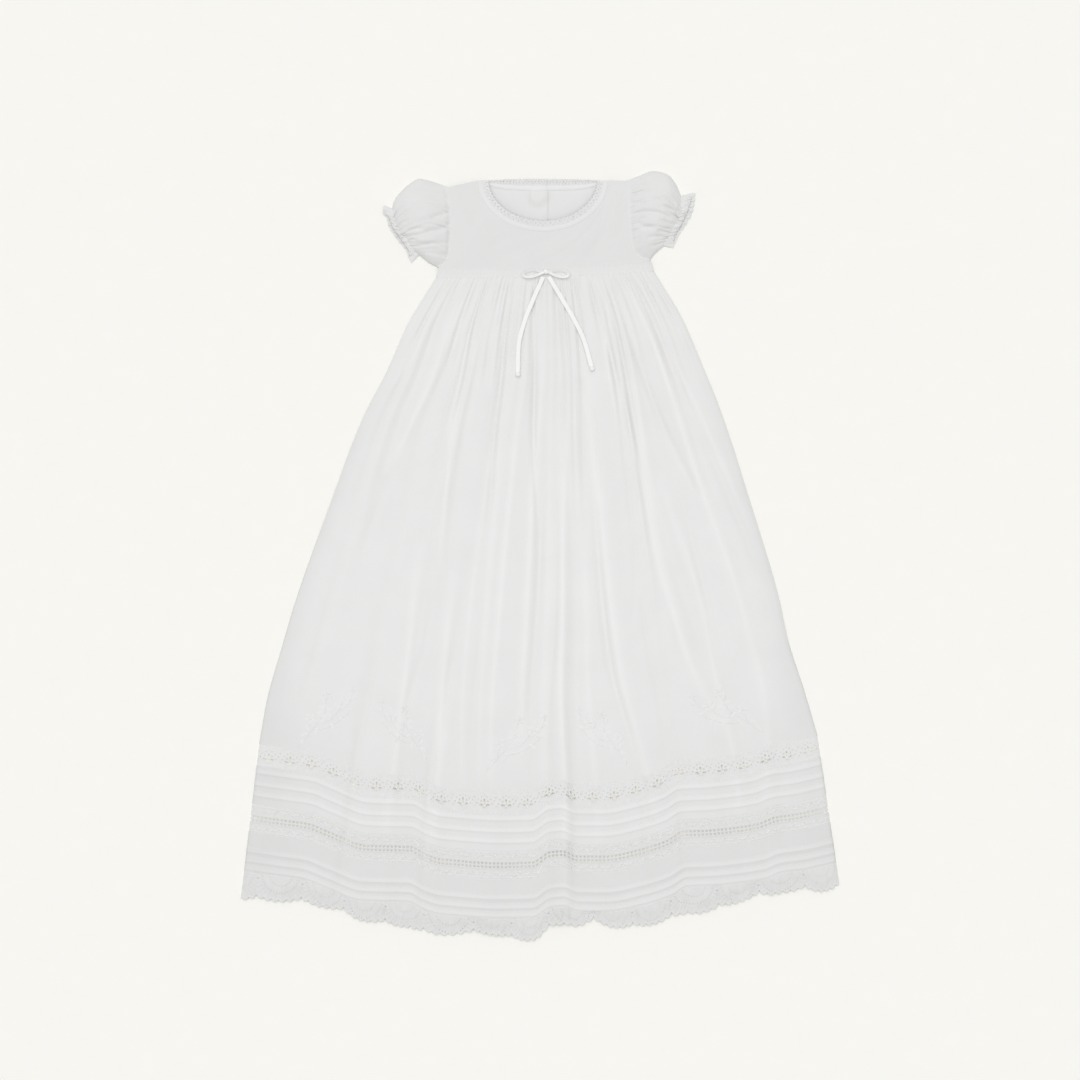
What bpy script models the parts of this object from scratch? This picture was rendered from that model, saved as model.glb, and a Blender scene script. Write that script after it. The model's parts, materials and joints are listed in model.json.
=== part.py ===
"""Christening gown laid out flat on its back, face up.

The cloth is a thin wall. Each piece that a maker would cut and sew is one object. A piece is bounded by
four seam lines, and its cloth fills the space between them.

+X runs across the gown, +Y from the hem to the neck, +Z up from the surface that the gown lies on.
The origin is the middle of the gown's outline, on that surface. Lengths are in millimetres here and
become metres when a mesh is made.
"""

import math

import bmesh
import bpy
import numpy as np

MM = 0.001
OUTLINE_MIDDLE = (0.5135, -0.3318)

# Cloth and clearances
CLOTH = 1.4
GAP = 0.3
FRONT_REST = CLOTH + GAP

# Bodice
NECK_X = 3.5
NECK_Y = 441.2
NECK_HALF = 76.0
FRONT_NECK_DEPTH = 60.0
BACK_NECK_DEPTH = 11.5
BACK_NECK_RISE = 0.04
NECK_STARTS = 0.19
NECK_ENDS = 0.79
NECK_CORNER = (0.0, 0.04, 0.10, 0.18)
NECK_COLUMNS = 24
BINDING = 6.0
NECK_LACE = 7.0
NECK_LACE_WAVES = 34
NECK_LACE_WAVE = 0.7
WAIST_LEFT = (-121.7, 327.6)
WAIST_RIGHT = (133.4, 335.2)
WAIST_SAG = 3.0
BODICE_LOFT = 4.8
SHOULDER_MIDDLES = (0.09, 0.89)
ARMHOLE_ROWS = (4 / 26, 8 / 26, 12 / 26, 16 / 26, 20 / 26)
UNDERARM_ROWS = (23 / 26, 24 / 26, 25 / 26)
SHOULDER_FALL = 36.0

# Centre-back closure
BUTTON_RADIUS = 4.5
BUTTON_FACE = 4.1
BUTTON_SIDES = 20
BUTTON_THICK = 2.0
BUTTON_X = -2.3
BUTTON_YS = (423.5, 378.0, 333.5)
BUTTON_FLAT = 6.5
BUTTON_SLOPE = 14.0
LAP_LEFT = -12.9
LAP_RIGHT = 8.2
LAP_SLOPE = 20.0
LAP_LEVEL = 1.0
FACING = 0.6

# Skirt
SKIRT_UPPER = 560.0
SKIRT_LOFT = 3.0
LOFT_EDGE = 14.0
WAIST_LOFT_ENDS = 0.16
FOLDS_BEGIN = 0.05
LEFT_FLARE = -0.119
RIGHT_FLARE = 0.148
GATHERS = 44
GATHER_HEIGHT = 0.9
GATHERED_ROWS = (0.02, 0.075, 0.15)
FOLDED_ROWS = (0.28, 0.40, 0.52, 0.64, 0.76, 0.88)
BACK_ROWS = (0.05, 0.1, 0.2, 0.3, 0.5, 0.7, 0.8, 0.9)
BACK_COLUMNS = 14

# Bands round the hem, measured down from the seam above the lace insertion
INSERTION = (0.0, 24.6)
UPPER_TUCKS = (24.6, 69.0)
BEADING = (69.0, 101.5)
LOWER_TUCKS = (101.5, 148.0)
EDGING_TOP = 148.0
EDGING_PLAIN = 13.0
EDGING_VALLEY = 171.5
EDGING_TIP = 180.0
TUCK_EDGES_UPPER = (34.2, 48.2, 60.6)
TUCK_EDGES_LOWER = (126.4, 137.4, 147.0)
TUCK_WIDTH = 6.4
TUCK_RISE = 0.9
TUCK_DROP = 0.3
BACK_SHORTER = 6.0
LACE_REPEATS = 26
LACE_HOLE_WIDE = 0.25
LACE_HOLE_TALL = 0.095
LACE_HOLE_AT = 0.60
FIRST_VALLEY = 0.030
SCALLOP_PITCH = 0.0705
PETALS = 6
PETAL_DEPTH = 1.6
SCALLOP_ROUND = 0.6
SIDE_SEAM_SHARE = 0.002

# How closely the cloth of the skirt follows its folds
FOLD_REACH = 1.2
FOLD_SHOWS = 0.9
FOLD_SHARE = 0.4
SKIRT_SPACING = 17.0
BAND_SPACING = 24.0
BAND_LEVEL = 1.15

# Sleeves and frills
ARMHOLE_GAP = 0.45
ARMHOLE_GAP_UP = 0.15
SLEEVE_GATHERS = 13
SLEEVE_STATIONS = (0.0, 0.10, 0.24, 0.42, 0.62, 0.80, 0.92, 1.0)
SLEEVE_ROUND = 0.6
GATHERED_ARMHOLE = 2.6
GATHERED_CUFF = 3.0
GATHERS_FADE = 1.5
SLEEVE_EDGE = 2.6
SLEEVE_INSET = 0.022
SLEEVE_REST = np.array([0.93, 0.75, 0.5, 0.25, 0.07])
FRILL_STATIONS = (0.0, 0.45, 1.0)
FRILL_WAVES = 12
FRILL_GATHER = 0.7
FRILL_WAVE = 2.8
FRILL_FLARE = 2.0
FRILL_CLOTH = 1.2

# Ribbon
RIBBON_WIDE = 5.0
RIBBON_THICK = 1.0
TAIL_POINTS = 14
TAIL_LIES_ON = (-0.6, -0.3, 0.0, 0.3, 0.6)
KNOT_RADIUS = 3.0
KNOT_FLAT = 0.75
KNOT_RAISED = 1.2
BOW_X = 7.0
BOW_KNOT_WIDE = 1.15
BOW_LOOP = 25.0
BOW_LOOP_HALF = 5.0
BOW_LOOP_POINTS = 26
BOW_LOOP_OPEN = 0.10
BOW_LOOP_DROOP = 0.12
BOW_LOOP_RAISED = 0.6
BOW_TILT = math.radians(40)


def table(names, *rows):
    """A small table whose columns are read by name."""
    return dict(zip(names.split(), np.array(rows, float).T))


# Side edges of the skirt between the waist seam (0) and the insertion seam (1)
SKIRT_EDGES = table(
    "down left_x right_x",
    (0.00, -121.7, 133.4),
    (0.05, -138.9, 150.3),
    (0.10, -154.7, 166.1),
    (0.20, -179.0, 189.5),
    (0.30, -207.0, 211.3),
    (0.50, -248.5, 246.5),
    (0.70, -287.0, 279.0),
    (0.80, -303.0, 291.0),
    (0.90, -318.5, 308.5),
    (1.00, -328.4, 324.4),
)

# Height of the insertion seam across the skirt: it steps where the soft folds cross it
HEM_LINE = table(
    "across y",
    (0.000, -217.6),
    (0.060, -223.2),
    (0.100, -227.0),
    (0.137, -236.9),
    (0.200, -252.2),
    (0.277, -253.8),
    (0.303, -262.7),
    (0.331, -268.3),
    (0.444, -272.8),
    (0.488, -272.0),
    (0.519, -259.6),
    (0.540, -258.2),
    (0.566, -264.8),
    (0.611, -265.0),
    (0.676, -256.8),
    (0.722, -246.3),
    (0.749, -236.2),
    (0.795, -234.4),
    (0.877, -227.4),
    (0.907, -219.6),
    (0.946, -215.9),
    (1.000, -207.7),
)

# Long folds of the front: where each lies across the skirt and how high it stands at five stations
STATIONS = np.array([0.0, 0.3, 0.6, 1.0, 1.33])
FOLDS = table(
    "at_0 at_1 at_2 at_3 at_4 rise_0 rise_1 rise_2 rise_3 rise_4 width",
    (0.225, 0.170, 0.176, 0.172, 0.155, -2.0, -1.4, -0.8, -2.2, -1.4, 7),
    (0.285, 0.267, 0.260, 0.245, 0.230, 1.0, 2.0, 1.2, 1.4, 1.4, 15),
    (0.320, 0.330, 0.340, 0.308, 0.300, 0.0, 0.0, -1.0, -2.6, -2.4, 7),
    (0.350, 0.370, 0.386, 0.380, 0.370, -2.4, -2.4, -1.6, -0.4, 0.0, 5),
    (0.400, 0.420, 0.430, 0.420, 0.410, 0.8, 1.2, 1.8, 2.6, 2.8, 20),
    (0.445, 0.478, 0.503, 0.488, 0.475, -2.4, -2.2, -1.6, -0.8, 0.0, 5),
    (0.541, 0.552, 0.551, 0.538, 0.531, -2.2, -1.4, 5.0, 8.0, 6.0, 9),
    (0.590, 0.590, 0.590, 0.590, 0.590, 0.6, 0.8, 0.0, 0.0, 0.0, 8),
    (0.632, 0.640, 0.637, 0.682, 0.700, -1.8, -2.0, -1.8, -1.8, -0.6, 6),
    (0.655, 0.668, 0.672, 0.705, 0.715, 0.6, 1.0, 2.4, 1.4, 1.0, 10),
    (0.690, 0.735, 0.735, 0.745, 0.750, -2.4, -2.2, -0.6, -2.2, -1.8, 6),
    (0.740, 0.765, 0.790, 0.800, 0.810, 0.8, 1.6, 3.0, 2.0, 2.2, 14),
    (0.790, 0.828, 0.850, 0.870, 0.875, -2.0, -1.6, -1.0, -0.8, -0.8, 6),
    (0.835, 0.875, 0.914, 0.905, 0.895, 0.6, 1.2, 2.4, 1.6, 1.0, 10),
    (0.880, 0.922, 0.968, 0.980, 0.990, -2.2, -2.0, -1.2, 0.0, 0.0, 6),
)

# Size of the fine gathers below the waist seam, as a share of their height
GATHERS_HANG = table(
    "down size",
    (0.00, 0.50),
    (0.02, 1.00),
    (0.08, 0.90),
    (0.16, 0.55),
    (0.28, 0.00),
)

# Armholes, from the shoulder (0) to the underarm (1)
LEFT_ARMHOLE = table(
    "down x y",
    (0.00, -107.3, 433.6),
    (0.28, -103.2, 407.5),
    (0.45, -102.7, 392.0),
    (0.70, -104.7, 365.0),
    (0.86, -106.4, 351.2),
    (0.94, -110.0, 344.6),
    (1.00, -119.0, 339.0),
)
RIGHT_ARMHOLE = table(
    "down x y",
    (0.00, 101.3, 440.9),
    (0.20, 101.3, 425.0),
    (0.45, 102.3, 404.0),
    (0.75, 105.2, 375.0),
    (0.88, 108.4, 359.5),
    (0.95, 115.0, 351.2),
    (1.00, 129.5, 346.6),
)

# Sleeves: outlines seen from above, and how far the puff stands up from the armhole (0) to the cuff (1)
LEFT_SLEEVE_TOP = table(
    "along x y",
    (0.00, -107.6, 433.8),
    (0.12, -117.5, 437.6),
    (0.35, -140.8, 443.8),
    (0.52, -152.3, 437.8),
    (0.70, -163.0, 428.0),
    (0.87, -170.8, 417.3),
    (1.00, -173.2, 408.9),
)
LEFT_SLEEVE_LOW = table(
    "along x y",
    (0.00, -119.4, 339.2),
    (0.50, -130.5, 345.4),
    (1.00, -140.8, 354.2),
)
LEFT_CUFF = table(
    "down x y",
    (0.00, -173.2, 408.9),
    (0.40, -167.0, 386.0),
    (0.65, -156.8, 373.5),
    (0.90, -146.8, 358.8),
    (1.00, -140.8, 354.2),
)
LEFT_FRILL_EDGE = table(
    "down x y",
    (0.00, -183.1, 413.0),
    (0.12, -184.2, 403.7),
    (0.22, -179.2, 397.4),
    (0.36, -177.6, 389.0),
    (0.50, -171.8, 379.3),
    (0.66, -165.6, 369.7),
    (0.82, -156.4, 359.2),
    (0.93, -153.3, 349.6),
    (1.00, -150.3, 344.8),
)
RIGHT_SLEEVE_TOP = table(
    "along x y",
    (0.00, 101.7, 441.1),
    (0.14, 116.2, 447.0),
    (0.33, 132.9, 452.7),
    (0.52, 147.4, 449.6),
    (0.74, 157.4, 439.8),
    (1.00, 165.0, 423.5),
)
RIGHT_SLEEVE_LOW = table(
    "along x y",
    (0.00, 129.9, 346.8),
    (0.50, 134.5, 355.3),
    (1.00, 144.5, 364.5),
)
RIGHT_CUFF = table(
    "down x y",
    (0.00, 165.0, 423.5),
    (0.30, 164.4, 406.0),
    (0.50, 160.3, 394.3),
    (0.70, 153.9, 382.6),
    (0.87, 147.4, 373.2),
    (1.00, 144.5, 364.5),
)
RIGHT_FRILL_EDGE = table(
    "down x y",
    (0.00, 181.9, 427.8),
    (0.15, 181.4, 418.9),
    (0.30, 179.6, 409.5),
    (0.45, 177.0, 400.1),
    (0.60, 170.5, 388.6),
    (0.75, 164.6, 380.9),
    (0.88, 160.4, 372.6),
    (1.00, 155.8, 362.2),
)
PUFF = table(
    "along height",
    (0.00, 6.5),
    (0.12, 13.0),
    (0.35, 22.5),
    (0.60, 24.0),
    (0.82, 17.0),
    (1.00, 10.5),
)

# Ribbon tails, in the skirt's own terms: share across the skirt and share down it
LEFT_TAIL = table(
    "across down",
    (0.492, 0.000),
    (0.455, 0.040),
    (0.422, 0.090),
    (0.409, 0.135),
    (0.413, 0.185),
)
RIGHT_TAIL = table(
    "across down",
    (0.517, 0.000),
    (0.560, 0.035),
    (0.606, 0.082),
    (0.637, 0.128),
    (0.652, 0.180),
)


def smooth(xs, ys, at):
    """Curve through a table's points that never overshoots them: a cubic between each pair."""
    at = np.clip(at, xs[0], xs[-1])
    step = np.diff(xs)
    slope = np.diff(ys) / step
    same = slope[1:] * slope[:-1] > 0
    total = np.where(same, slope[1:] + slope[:-1], 1.0)
    inner = np.where(same, 2 * slope[1:] * slope[:-1] / total, 0.0)
    turn = np.concatenate([[slope[0]], inner, [slope[-1]]])
    i = np.clip(np.searchsorted(xs, at, side="right") - 1, 0, len(xs) - 2)
    h = step[i]
    q = (at - xs[i]) / h
    start = ys[i] * (1 + 2 * q) + turn[i] * h * q
    end = ys[i + 1] * (3 - 2 * q) - turn[i + 1] * h * (1 - q)
    return start * (1 - q) ** 2 + end * q**2


def line_of(rows, along, shift=(0.0, 0.0)):
    """Seam line through a table of points, as a function of the share along it."""

    def at(share):
        x = smooth(rows[along], rows["x"], share) + shift[0]
        y = smooth(rows[along], rows["y"], share) + shift[1]
        return np.array([x, y])

    return at


def straight(start, end):
    """Straight seam line between two points."""
    start, end = np.array(start, float), np.array(end, float)

    def at(share):
        share = np.asarray(share, float)
        return start.reshape(2, *[1] * share.ndim) * (1 - share) + end.reshape(2, *[1] * share.ndim) * share

    return at


def patch(top, bottom, left, right, reach=(1.0, 1.0)):
    """Cloth between four seam lines: u runs along the top and bottom lines, v down the sides.

    Each side line bends the cloth beside it over its own share of the width.
    """

    def plan(u, v):
        u, v = np.broadcast_arrays(np.asarray(u, float), np.asarray(v, float))
        ruled = (1 - v) * top(u) + v * bottom(u)
        for line, corner, away in ((left, 0.0, u / reach[0]), (right, 1.0, (1 - u) / reach[1])):
            start, end = [k.reshape(2, *[1] * u.ndim) for k in (top(corner), bottom(corner))]
            ruled = ruled + np.maximum(1 - away, 0) * (line(v) - (1 - v) * start - v * end)
        return ruled

    return plan


def ease(x):
    """Soft step from 0 to 1."""
    x = np.clip(x, 0.0, 1.0)
    return x * x * (3 - 2 * x)


# Plan of the skirt


def waist_y(u):
    """The waist seam climbs to the right and sags in its middle."""
    return WAIST_LEFT[1] * (1 - u) + WAIST_RIGHT[1] * u - WAIST_SAG * 4 * u * (1 - u)


def skirt_width(t):
    """Left and right edges of the skirt at t."""
    upper = np.minimum(t, 1.0)
    below = np.maximum(t - 1.0, 0.0) * SKIRT_UPPER
    left = smooth(SKIRT_EDGES["down"], SKIRT_EDGES["left_x"], upper) + LEFT_FLARE * below
    right = smooth(SKIRT_EDGES["down"], SKIRT_EDGES["right_x"], upper) + RIGHT_FLARE * below
    return left, right


def skirt_plan(u, t):
    """Plan point at share u across and t down: 0 at the waist seam, 1 at the insertion seam, more below."""
    u, t = np.broadcast_arrays(np.asarray(u, float), np.asarray(t, float))
    left, right = skirt_width(t)
    upper = np.minimum(t, 1.0)
    below = np.maximum(t - 1.0, 0.0) * SKIRT_UPPER
    y = waist_y(u) * (1 - upper) + smooth(HEM_LINE["across"], HEM_LINE["y"], u) * upper
    return np.array([left + u * (right - left), y - below])


def down_from_seam(mm):
    """Share t of a line that lies so many millimetres below the insertion seam."""
    return 1.0 + mm / SKIRT_UPPER


def fold_at(what, row, t):
    """One fold's place ("at") or height ("rise") at t, from its five stations."""
    stations = np.array([FOLDS[f"{what}_{k}"][row] for k in range(len(STATIONS))])
    return smooth(STATIONS, stations, t)


# Heights of the front above the surface


def side_fall(share):
    """Rounded fall from the middle of the front to its side seams."""
    return 1 - np.abs(2 * share - 1) ** 3


def skirt_height(u, t):
    """Underside of the front skirt: a low loft, shaped by the long folds, never through the back."""
    u, t = np.broadcast_arrays(np.asarray(u, float), np.asarray(t, float))
    left, right = skirt_width(t)
    wide = right - left
    edge = np.minimum(u, 1 - u) * wide
    skirt = SKIRT_LOFT * (1 - np.exp(-edge / LOFT_EDGE))
    waist = BODICE_LOFT * side_fall(u)
    height = waist + (skirt - waist) * ease(t / WAIST_LOFT_ENDS)
    sides = (1 - np.exp(-((edge / LOFT_EDGE) ** 2))) * ease(t / FOLDS_BEGIN)
    for row, fold_width in enumerate(FOLDS["width"]):
        away = (u - fold_at("at", row, t)) * wide / fold_width
        height = height + fold_at("rise", row, t) * np.exp(-(away**2)) * sides
    return FRONT_REST + np.maximum(height, 0.0)


def gathered_height(u, t):
    """The skirt with its fine gathers, which hang from the waist seam and run out below it."""
    size = GATHER_HEIGHT * smooth(GATHERS_HANG["down"], GATHERS_HANG["size"], t)
    return skirt_height(u, t) + size * (1 + np.cos(2 * np.pi * GATHERS * u))


def bodice_height(x, y):
    """Underside of the front bodice, waistband and neck edge: lofted, and low at the shoulders."""
    share = (x - WAIST_LEFT[0]) / (WAIST_RIGHT[0] - WAIST_LEFT[0])
    return FRONT_REST + BODICE_LOFT * side_fall(np.clip(share, 0, 1)) * ease((NECK_Y - y) / SHOULDER_FALL)


def back_lift(x, y):
    """How far the back lies above the surface where it passes over a button."""
    lift = np.zeros_like(x)
    for button_y in BUTTON_YS:
        away = np.maximum(np.abs(x - BUTTON_X), np.abs(y - button_y))
        lift = np.maximum(lift, 1 - ease((away - BUTTON_FLAT) / (BUTTON_SLOPE - BUTTON_FLAT)))
    return (BUTTON_THICK + GAP) * lift


def lapped(x, y):
    """The left half of the back lies over the buttons and over the right half's edge."""
    return back_lift(x, y) + (CLOTH + GAP) * ease((x - LAP_LEFT + LAP_SLOPE) / (LAP_SLOPE - LAP_LEVEL))


# Meshes


def zip_rows(a, b, us_a, us_b):
    """Triangles between two rows of points that run side by side but have their own counts."""
    faces = []
    i = j = 0
    while i < len(a) - 1 or j < len(b) - 1:
        step_a = us_a[i + 1] if i < len(a) - 1 else math.inf
        step_b = us_b[j + 1] if j < len(b) - 1 else math.inf
        if step_a <= step_b:
            faces.append((a[i], b[j], a[i + 1]))
            i += 1
        else:
            faces.append((a[i], b[j], b[j + 1]))
            j += 1
    return faces


def cloth_rows(rows):
    """Open cloth from rows of (v, us, raised): its parameters, its raised amounts, its triangles."""
    points, raised, faces = [], [], []
    last = None
    for v, us, rise in rows:
        first = len(points)
        vs = np.broadcast_to(v, len(us))
        rises = np.broadcast_to(rise, len(us))
        points += list(zip(us, vs))
        raised += list(rises)
        row = list(range(first, first + len(us)))
        if last:
            faces += zip_rows(last[0], row, last[1], us)
        last = (row, us)
    return np.array(points), np.array(raised), faces


def lace_cells(count, top, bottom, sides):
    """Open cloth with one hole in each repeat: a ring of points on the cell's border, a ring on the hole."""
    points, faces, index = [], [], {}

    def put(u, v):
        key = (round(u, 7), round(v, 7))
        if key not in index:
            index[key] = len(points)
            points.append((u, v))
        return index[key]

    angles = [math.radians(135 - 360 * k / sides) for k in range(sides)]
    for cell in range(count):
        border, hole = [], []
        for angle in angles:
            c, s = math.cos(angle), math.sin(angle)
            reach = max(abs(c), abs(s))
            border.append(put((cell + (1 + c / reach) / 2) / count, (1 - s / reach) / 2))
            u = (cell + 0.5 + LACE_HOLE_WIDE * c) / count
            hole.append(put(u, LACE_HOLE_AT - LACE_HOLE_TALL * s))
        for k in range(sides):
            n = (k + 1) % sides
            faces.append((border[k], hole[k], border[n]))
            faces.append((border[n], hole[k], hole[n]))
    uv = np.array(points)
    uv[:, 1] = top + uv[:, 1] * (bottom - top)
    return uv, np.zeros(len(uv)), faces


def finish(name, points, faces, material, twisted=False):
    """Mesh object from points in millimetres and faces, turned outwards. Twisted faces are cut in two."""
    mesh = bpy.data.meshes.new(name)
    mesh.from_pydata([tuple(p) for p in np.asarray(points) * MM], [], faces)
    bm = bmesh.new()
    bm.from_mesh(mesh)
    bmesh.ops.recalc_face_normals(bm, faces=bm.faces)
    if twisted:
        bmesh.ops.triangulate(bm, faces=bm.faces)
    bm.to_mesh(mesh)
    bm.free()
    mesh.shade_smooth()
    add_piece(mesh, material)


def add_piece(mesh, material, place=(0.0, 0.0, 0.0)):
    """The mesh becomes a piece of the gown, measured from the middle of the gown's outline."""
    mesh.materials.append(material)
    piece = bpy.data.objects.new(mesh.name, mesh)
    piece.location = (np.array(place) - (*OUTLINE_MIDDLE, 0.0)) * MM
    GOWN.objects.link(piece)


def wall(name, cloth, plan, under, material, thick=CLOTH):
    """Closed cloth wall on open cloth: its underside, its raised upper side, and rims round every edge."""
    uv, raised, faces = cloth
    x, y = plan(uv[:, 0], uv[:, 1])
    low = under(uv[:, 0], uv[:, 1], x, y)
    count = len(uv)
    points = np.concatenate([np.c_[x, y, low], np.c_[x, y, low + thick + raised]])
    upper = [tuple(k + count for k in face) for face in faces]
    lower = [face[::-1] for face in faces]
    once = {}
    for face in faces:
        for a, b in zip(face, face[1:] + face[:1]):
            if (b, a) in once:
                del once[b, a]
            else:
                once[a, b] = True
    rims = [(a, b, b + count, a + count) for a, b in once]
    finish(name, points, upper + lower + rims, material)


def raised_wall(name, rows, plan, under, material, thick=CLOTH):
    """Closed cloth wall whose upper side has every row and whose plain underside has the end rows alone."""
    uv, raised, faces = cloth_rows(rows)
    x, y = plan(uv[:, 0], uv[:, 1])
    low = under(uv[:, 0], uv[:, 1], x, y)
    counts = [len(shares) for _, shares, _ in rows]
    first, last = counts[0], counts[-1]
    upper_starts = np.cumsum([0] + counts[:-1])
    upper_ends = np.cumsum(counts) - 1
    ends = np.r_[0:first, upper_starts[-1] : upper_starts[-1] + last]
    points = np.concatenate([np.c_[x, y, low + thick + raised], np.c_[x, y, low][ends]])
    base = len(uv)
    a, b = list(range(base, base + first)), list(range(base + first, base + first + last))
    faces = faces + [face[::-1] for face in zip_rows(a, b, rows[0][1], rows[-1][1])]
    upper_last = list(range(upper_starts[-1], upper_starts[-1] + last))
    for upper, lower in ((list(range(first)), a), (upper_last, b)):
        faces += [(upper[k], upper[k + 1], lower[k + 1], lower[k]) for k in range(len(upper) - 1)]
    faces.append((a[0], *upper_starts, b[0]))
    faces.append((a[-1], *upper_ends, b[-1]))
    finish(name, points, faces, material)


def tube(name, plan, rings, material):
    """Closed cloth tube through rings: rows of outer and inner points given as (q, z) at each station s."""
    stations = len(rings)
    around = len(rings[0][1])
    points = []
    for s, outer, inner in rings:
        for ring in (outer, inner):
            x, y = plan(s, ring[:, 0])
            points.append(np.c_[x, y, ring[:, 1]])
    faces = []

    def at(station, side, k):
        return (2 * station + side) * around + k % around

    for station in range(stations - 1):
        for k in range(around):
            for side in (0, 1):
                faces.append(
                    (
                        at(station, side, k),
                        at(station, side, k + 1),
                        at(station + 1, side, k + 1),
                        at(station + 1, side, k),
                    )
                )
    for station in (0, stations - 1):
        for k in range(around):
            faces.append((at(station, 0, k), at(station, 0, k + 1), at(station, 1, k + 1), at(station, 1, k)))
    finish(name, np.concatenate(points), faces, material)


def ribbon(name, path, across, material, wide=RIBBON_WIDE, thick=RIBBON_THICK):
    """Flat ribbon along a path: across gives the direction of its width at each point."""
    along = np.gradient(path, axis=0)
    across = across / np.linalg.norm(across, axis=1)[:, None]
    out = np.cross(along, across)
    out = out / np.linalg.norm(out, axis=1)[:, None]
    corners = [(-1, -1), (1, -1), (1, 1), (-1, 1)]
    points = np.concatenate([path + across * wide / 2 * a + out * thick / 2 * b for a, b in corners])
    count = len(path)
    faces = []
    for side in range(4):
        a, b = side * count, (side + 1) % 4 * count
        faces += [(a + k, a + k + 1, b + k + 1, b + k) for k in range(count - 1)]
    faces.append(tuple(side * count for side in range(4)))
    faces.append(tuple(side * count + count - 1 for side in range(4)))
    finish(name, points, faces, material, twisted=True)


def cloth_material(name, colour, roughness):
    material = bpy.data.materials.new(name)
    material.use_nodes = True
    shader = material.node_tree.nodes["Principled BSDF"]
    shader.inputs["Base Color"].default_value = (*colour, 1.0)
    shader.inputs["Roughness"].default_value = roughness
    shader.inputs["Metallic"].default_value = 0.0
    return material


# Columns and rows


def even(count):
    """Shares from 0 to 1 in equal steps."""
    return np.linspace(0.0, 1.0, count + 1)


def fold_anchors(t, standing):
    """Shares of the standing folds at one level: each has its centre and a point on either side."""
    left, right = skirt_width(np.array(t))
    wide = right - left
    centres = [fold_at("at", row, t) for row in standing]
    shares = [0.0]
    for i, row in enumerate(standing):
        before = centres[i] - (centres[i - 1] if i else 0.0)
        after = (centres[i + 1] if i < len(centres) - 1 else 1.0) - centres[i]
        reach = FOLD_REACH * FOLDS["width"][row] / wide
        shares.append(centres[i] - min(reach, FOLD_SHARE * before))
        shares.append(centres[i])
        shares.append(centres[i] + min(reach, FOLD_SHARE * after))
    return np.array(shares + [1.0]), wide


def fold_columns(t, spacing, level=None):
    """Shares across the skirt at t, about evenly spaced between the folds that stand at the given level."""
    level = t if level is None else level
    rows = range(len(FOLDS["width"]))
    standing = [row for row in rows if abs(fold_at("rise", row, level)) > FOLD_SHOWS]
    at_level, wide = fold_anchors(level, standing)
    anchors, _ = fold_anchors(t, standing)
    shares = [0.0]
    for i, span in enumerate(np.diff(at_level) * wide):
        parts = max(1, round(span / spacing))
        shares += list(np.linspace(anchors[i], anchors[i + 1], parts + 1)[1:])
    return np.array(shares)


def band_columns(t):
    """Columns shared by every band below the insertion, so that their seams run alike."""
    return fold_columns(t, BAND_SPACING, BAND_LEVEL)


def tuck_levels(edges):
    """A tuck lies downwards: it rises from its stitching line to its folded edge and drops off there."""
    levels = []
    for edge in edges:
        levels.append((edge - TUCK_WIDTH, 0.0))
        levels.append((edge - TUCK_DROP, TUCK_RISE))
        levels.append((edge, 0.0))
    return levels


def scallop_edge(shorter, per_scallop):
    """Lower edge of the lace edging: shares across, and millimetres below the insertion seam."""
    count = int(round((1 - FIRST_VALLEY) / SCALLOP_PITCH * per_scallop))
    shares = np.concatenate([[0.0], FIRST_VALLEY + np.arange(count + 1) * SCALLOP_PITCH / per_scallop])
    shares = np.append(shares[shares < 1 - SIDE_SEAM_SHARE], 1.0)
    phase = (shares - FIRST_VALLEY) / SCALLOP_PITCH
    arch = np.abs(np.sin(np.pi * phase)) ** SCALLOP_ROUND
    petal = np.abs(np.sin(np.pi * phase * PETALS))
    drop = EDGING_VALLEY + (EDGING_TIP - EDGING_VALLEY - PETAL_DEPTH) * arch
    if per_scallop > PETALS:
        drop = drop + PETAL_DEPTH * petal
    return shares, drop - shorter


# The gown's pieces


def on_skirt(height):
    """Underside given by share across and down the skirt."""
    return lambda u, t, x, y: height(u, t)


def flat_on_floor(u, t, x, y):
    """Underside on the surface itself."""
    return np.zeros_like(x)


def make_skirt_front():
    top = GAP / 2 / SKIRT_UPPER
    rows = [(t, even(2 * GATHERS), 0.0) for t in (top, *GATHERED_ROWS)]
    rows += [(t, fold_columns(t, SKIRT_SPACING), 0.0) for t in FOLDED_ROWS]
    rows.append((down_from_seam(-GAP / 2), even(2 * LACE_REPEATS), 0.0))
    wall("skirt_front", cloth_rows(rows), skirt_plan, on_skirt(gathered_height), BATISTE)


def make_tucks(name, band, edges, first_columns):
    """A band with tucks across it. Its upper seam has the columns of the piece that it is sewn to."""
    start, stop = band[0] + GAP / 2, band[1] - GAP / 2
    rows = [(down_from_seam(start), first_columns, 0.0)]
    for mm, rise in tuck_levels(edges) + [(stop, 0.0)]:
        t = down_from_seam(mm)
        rows.append((t, band_columns(t), rise))
    raised_wall(name, rows, skirt_plan, on_skirt(skirt_height), BATISTE)


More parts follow.
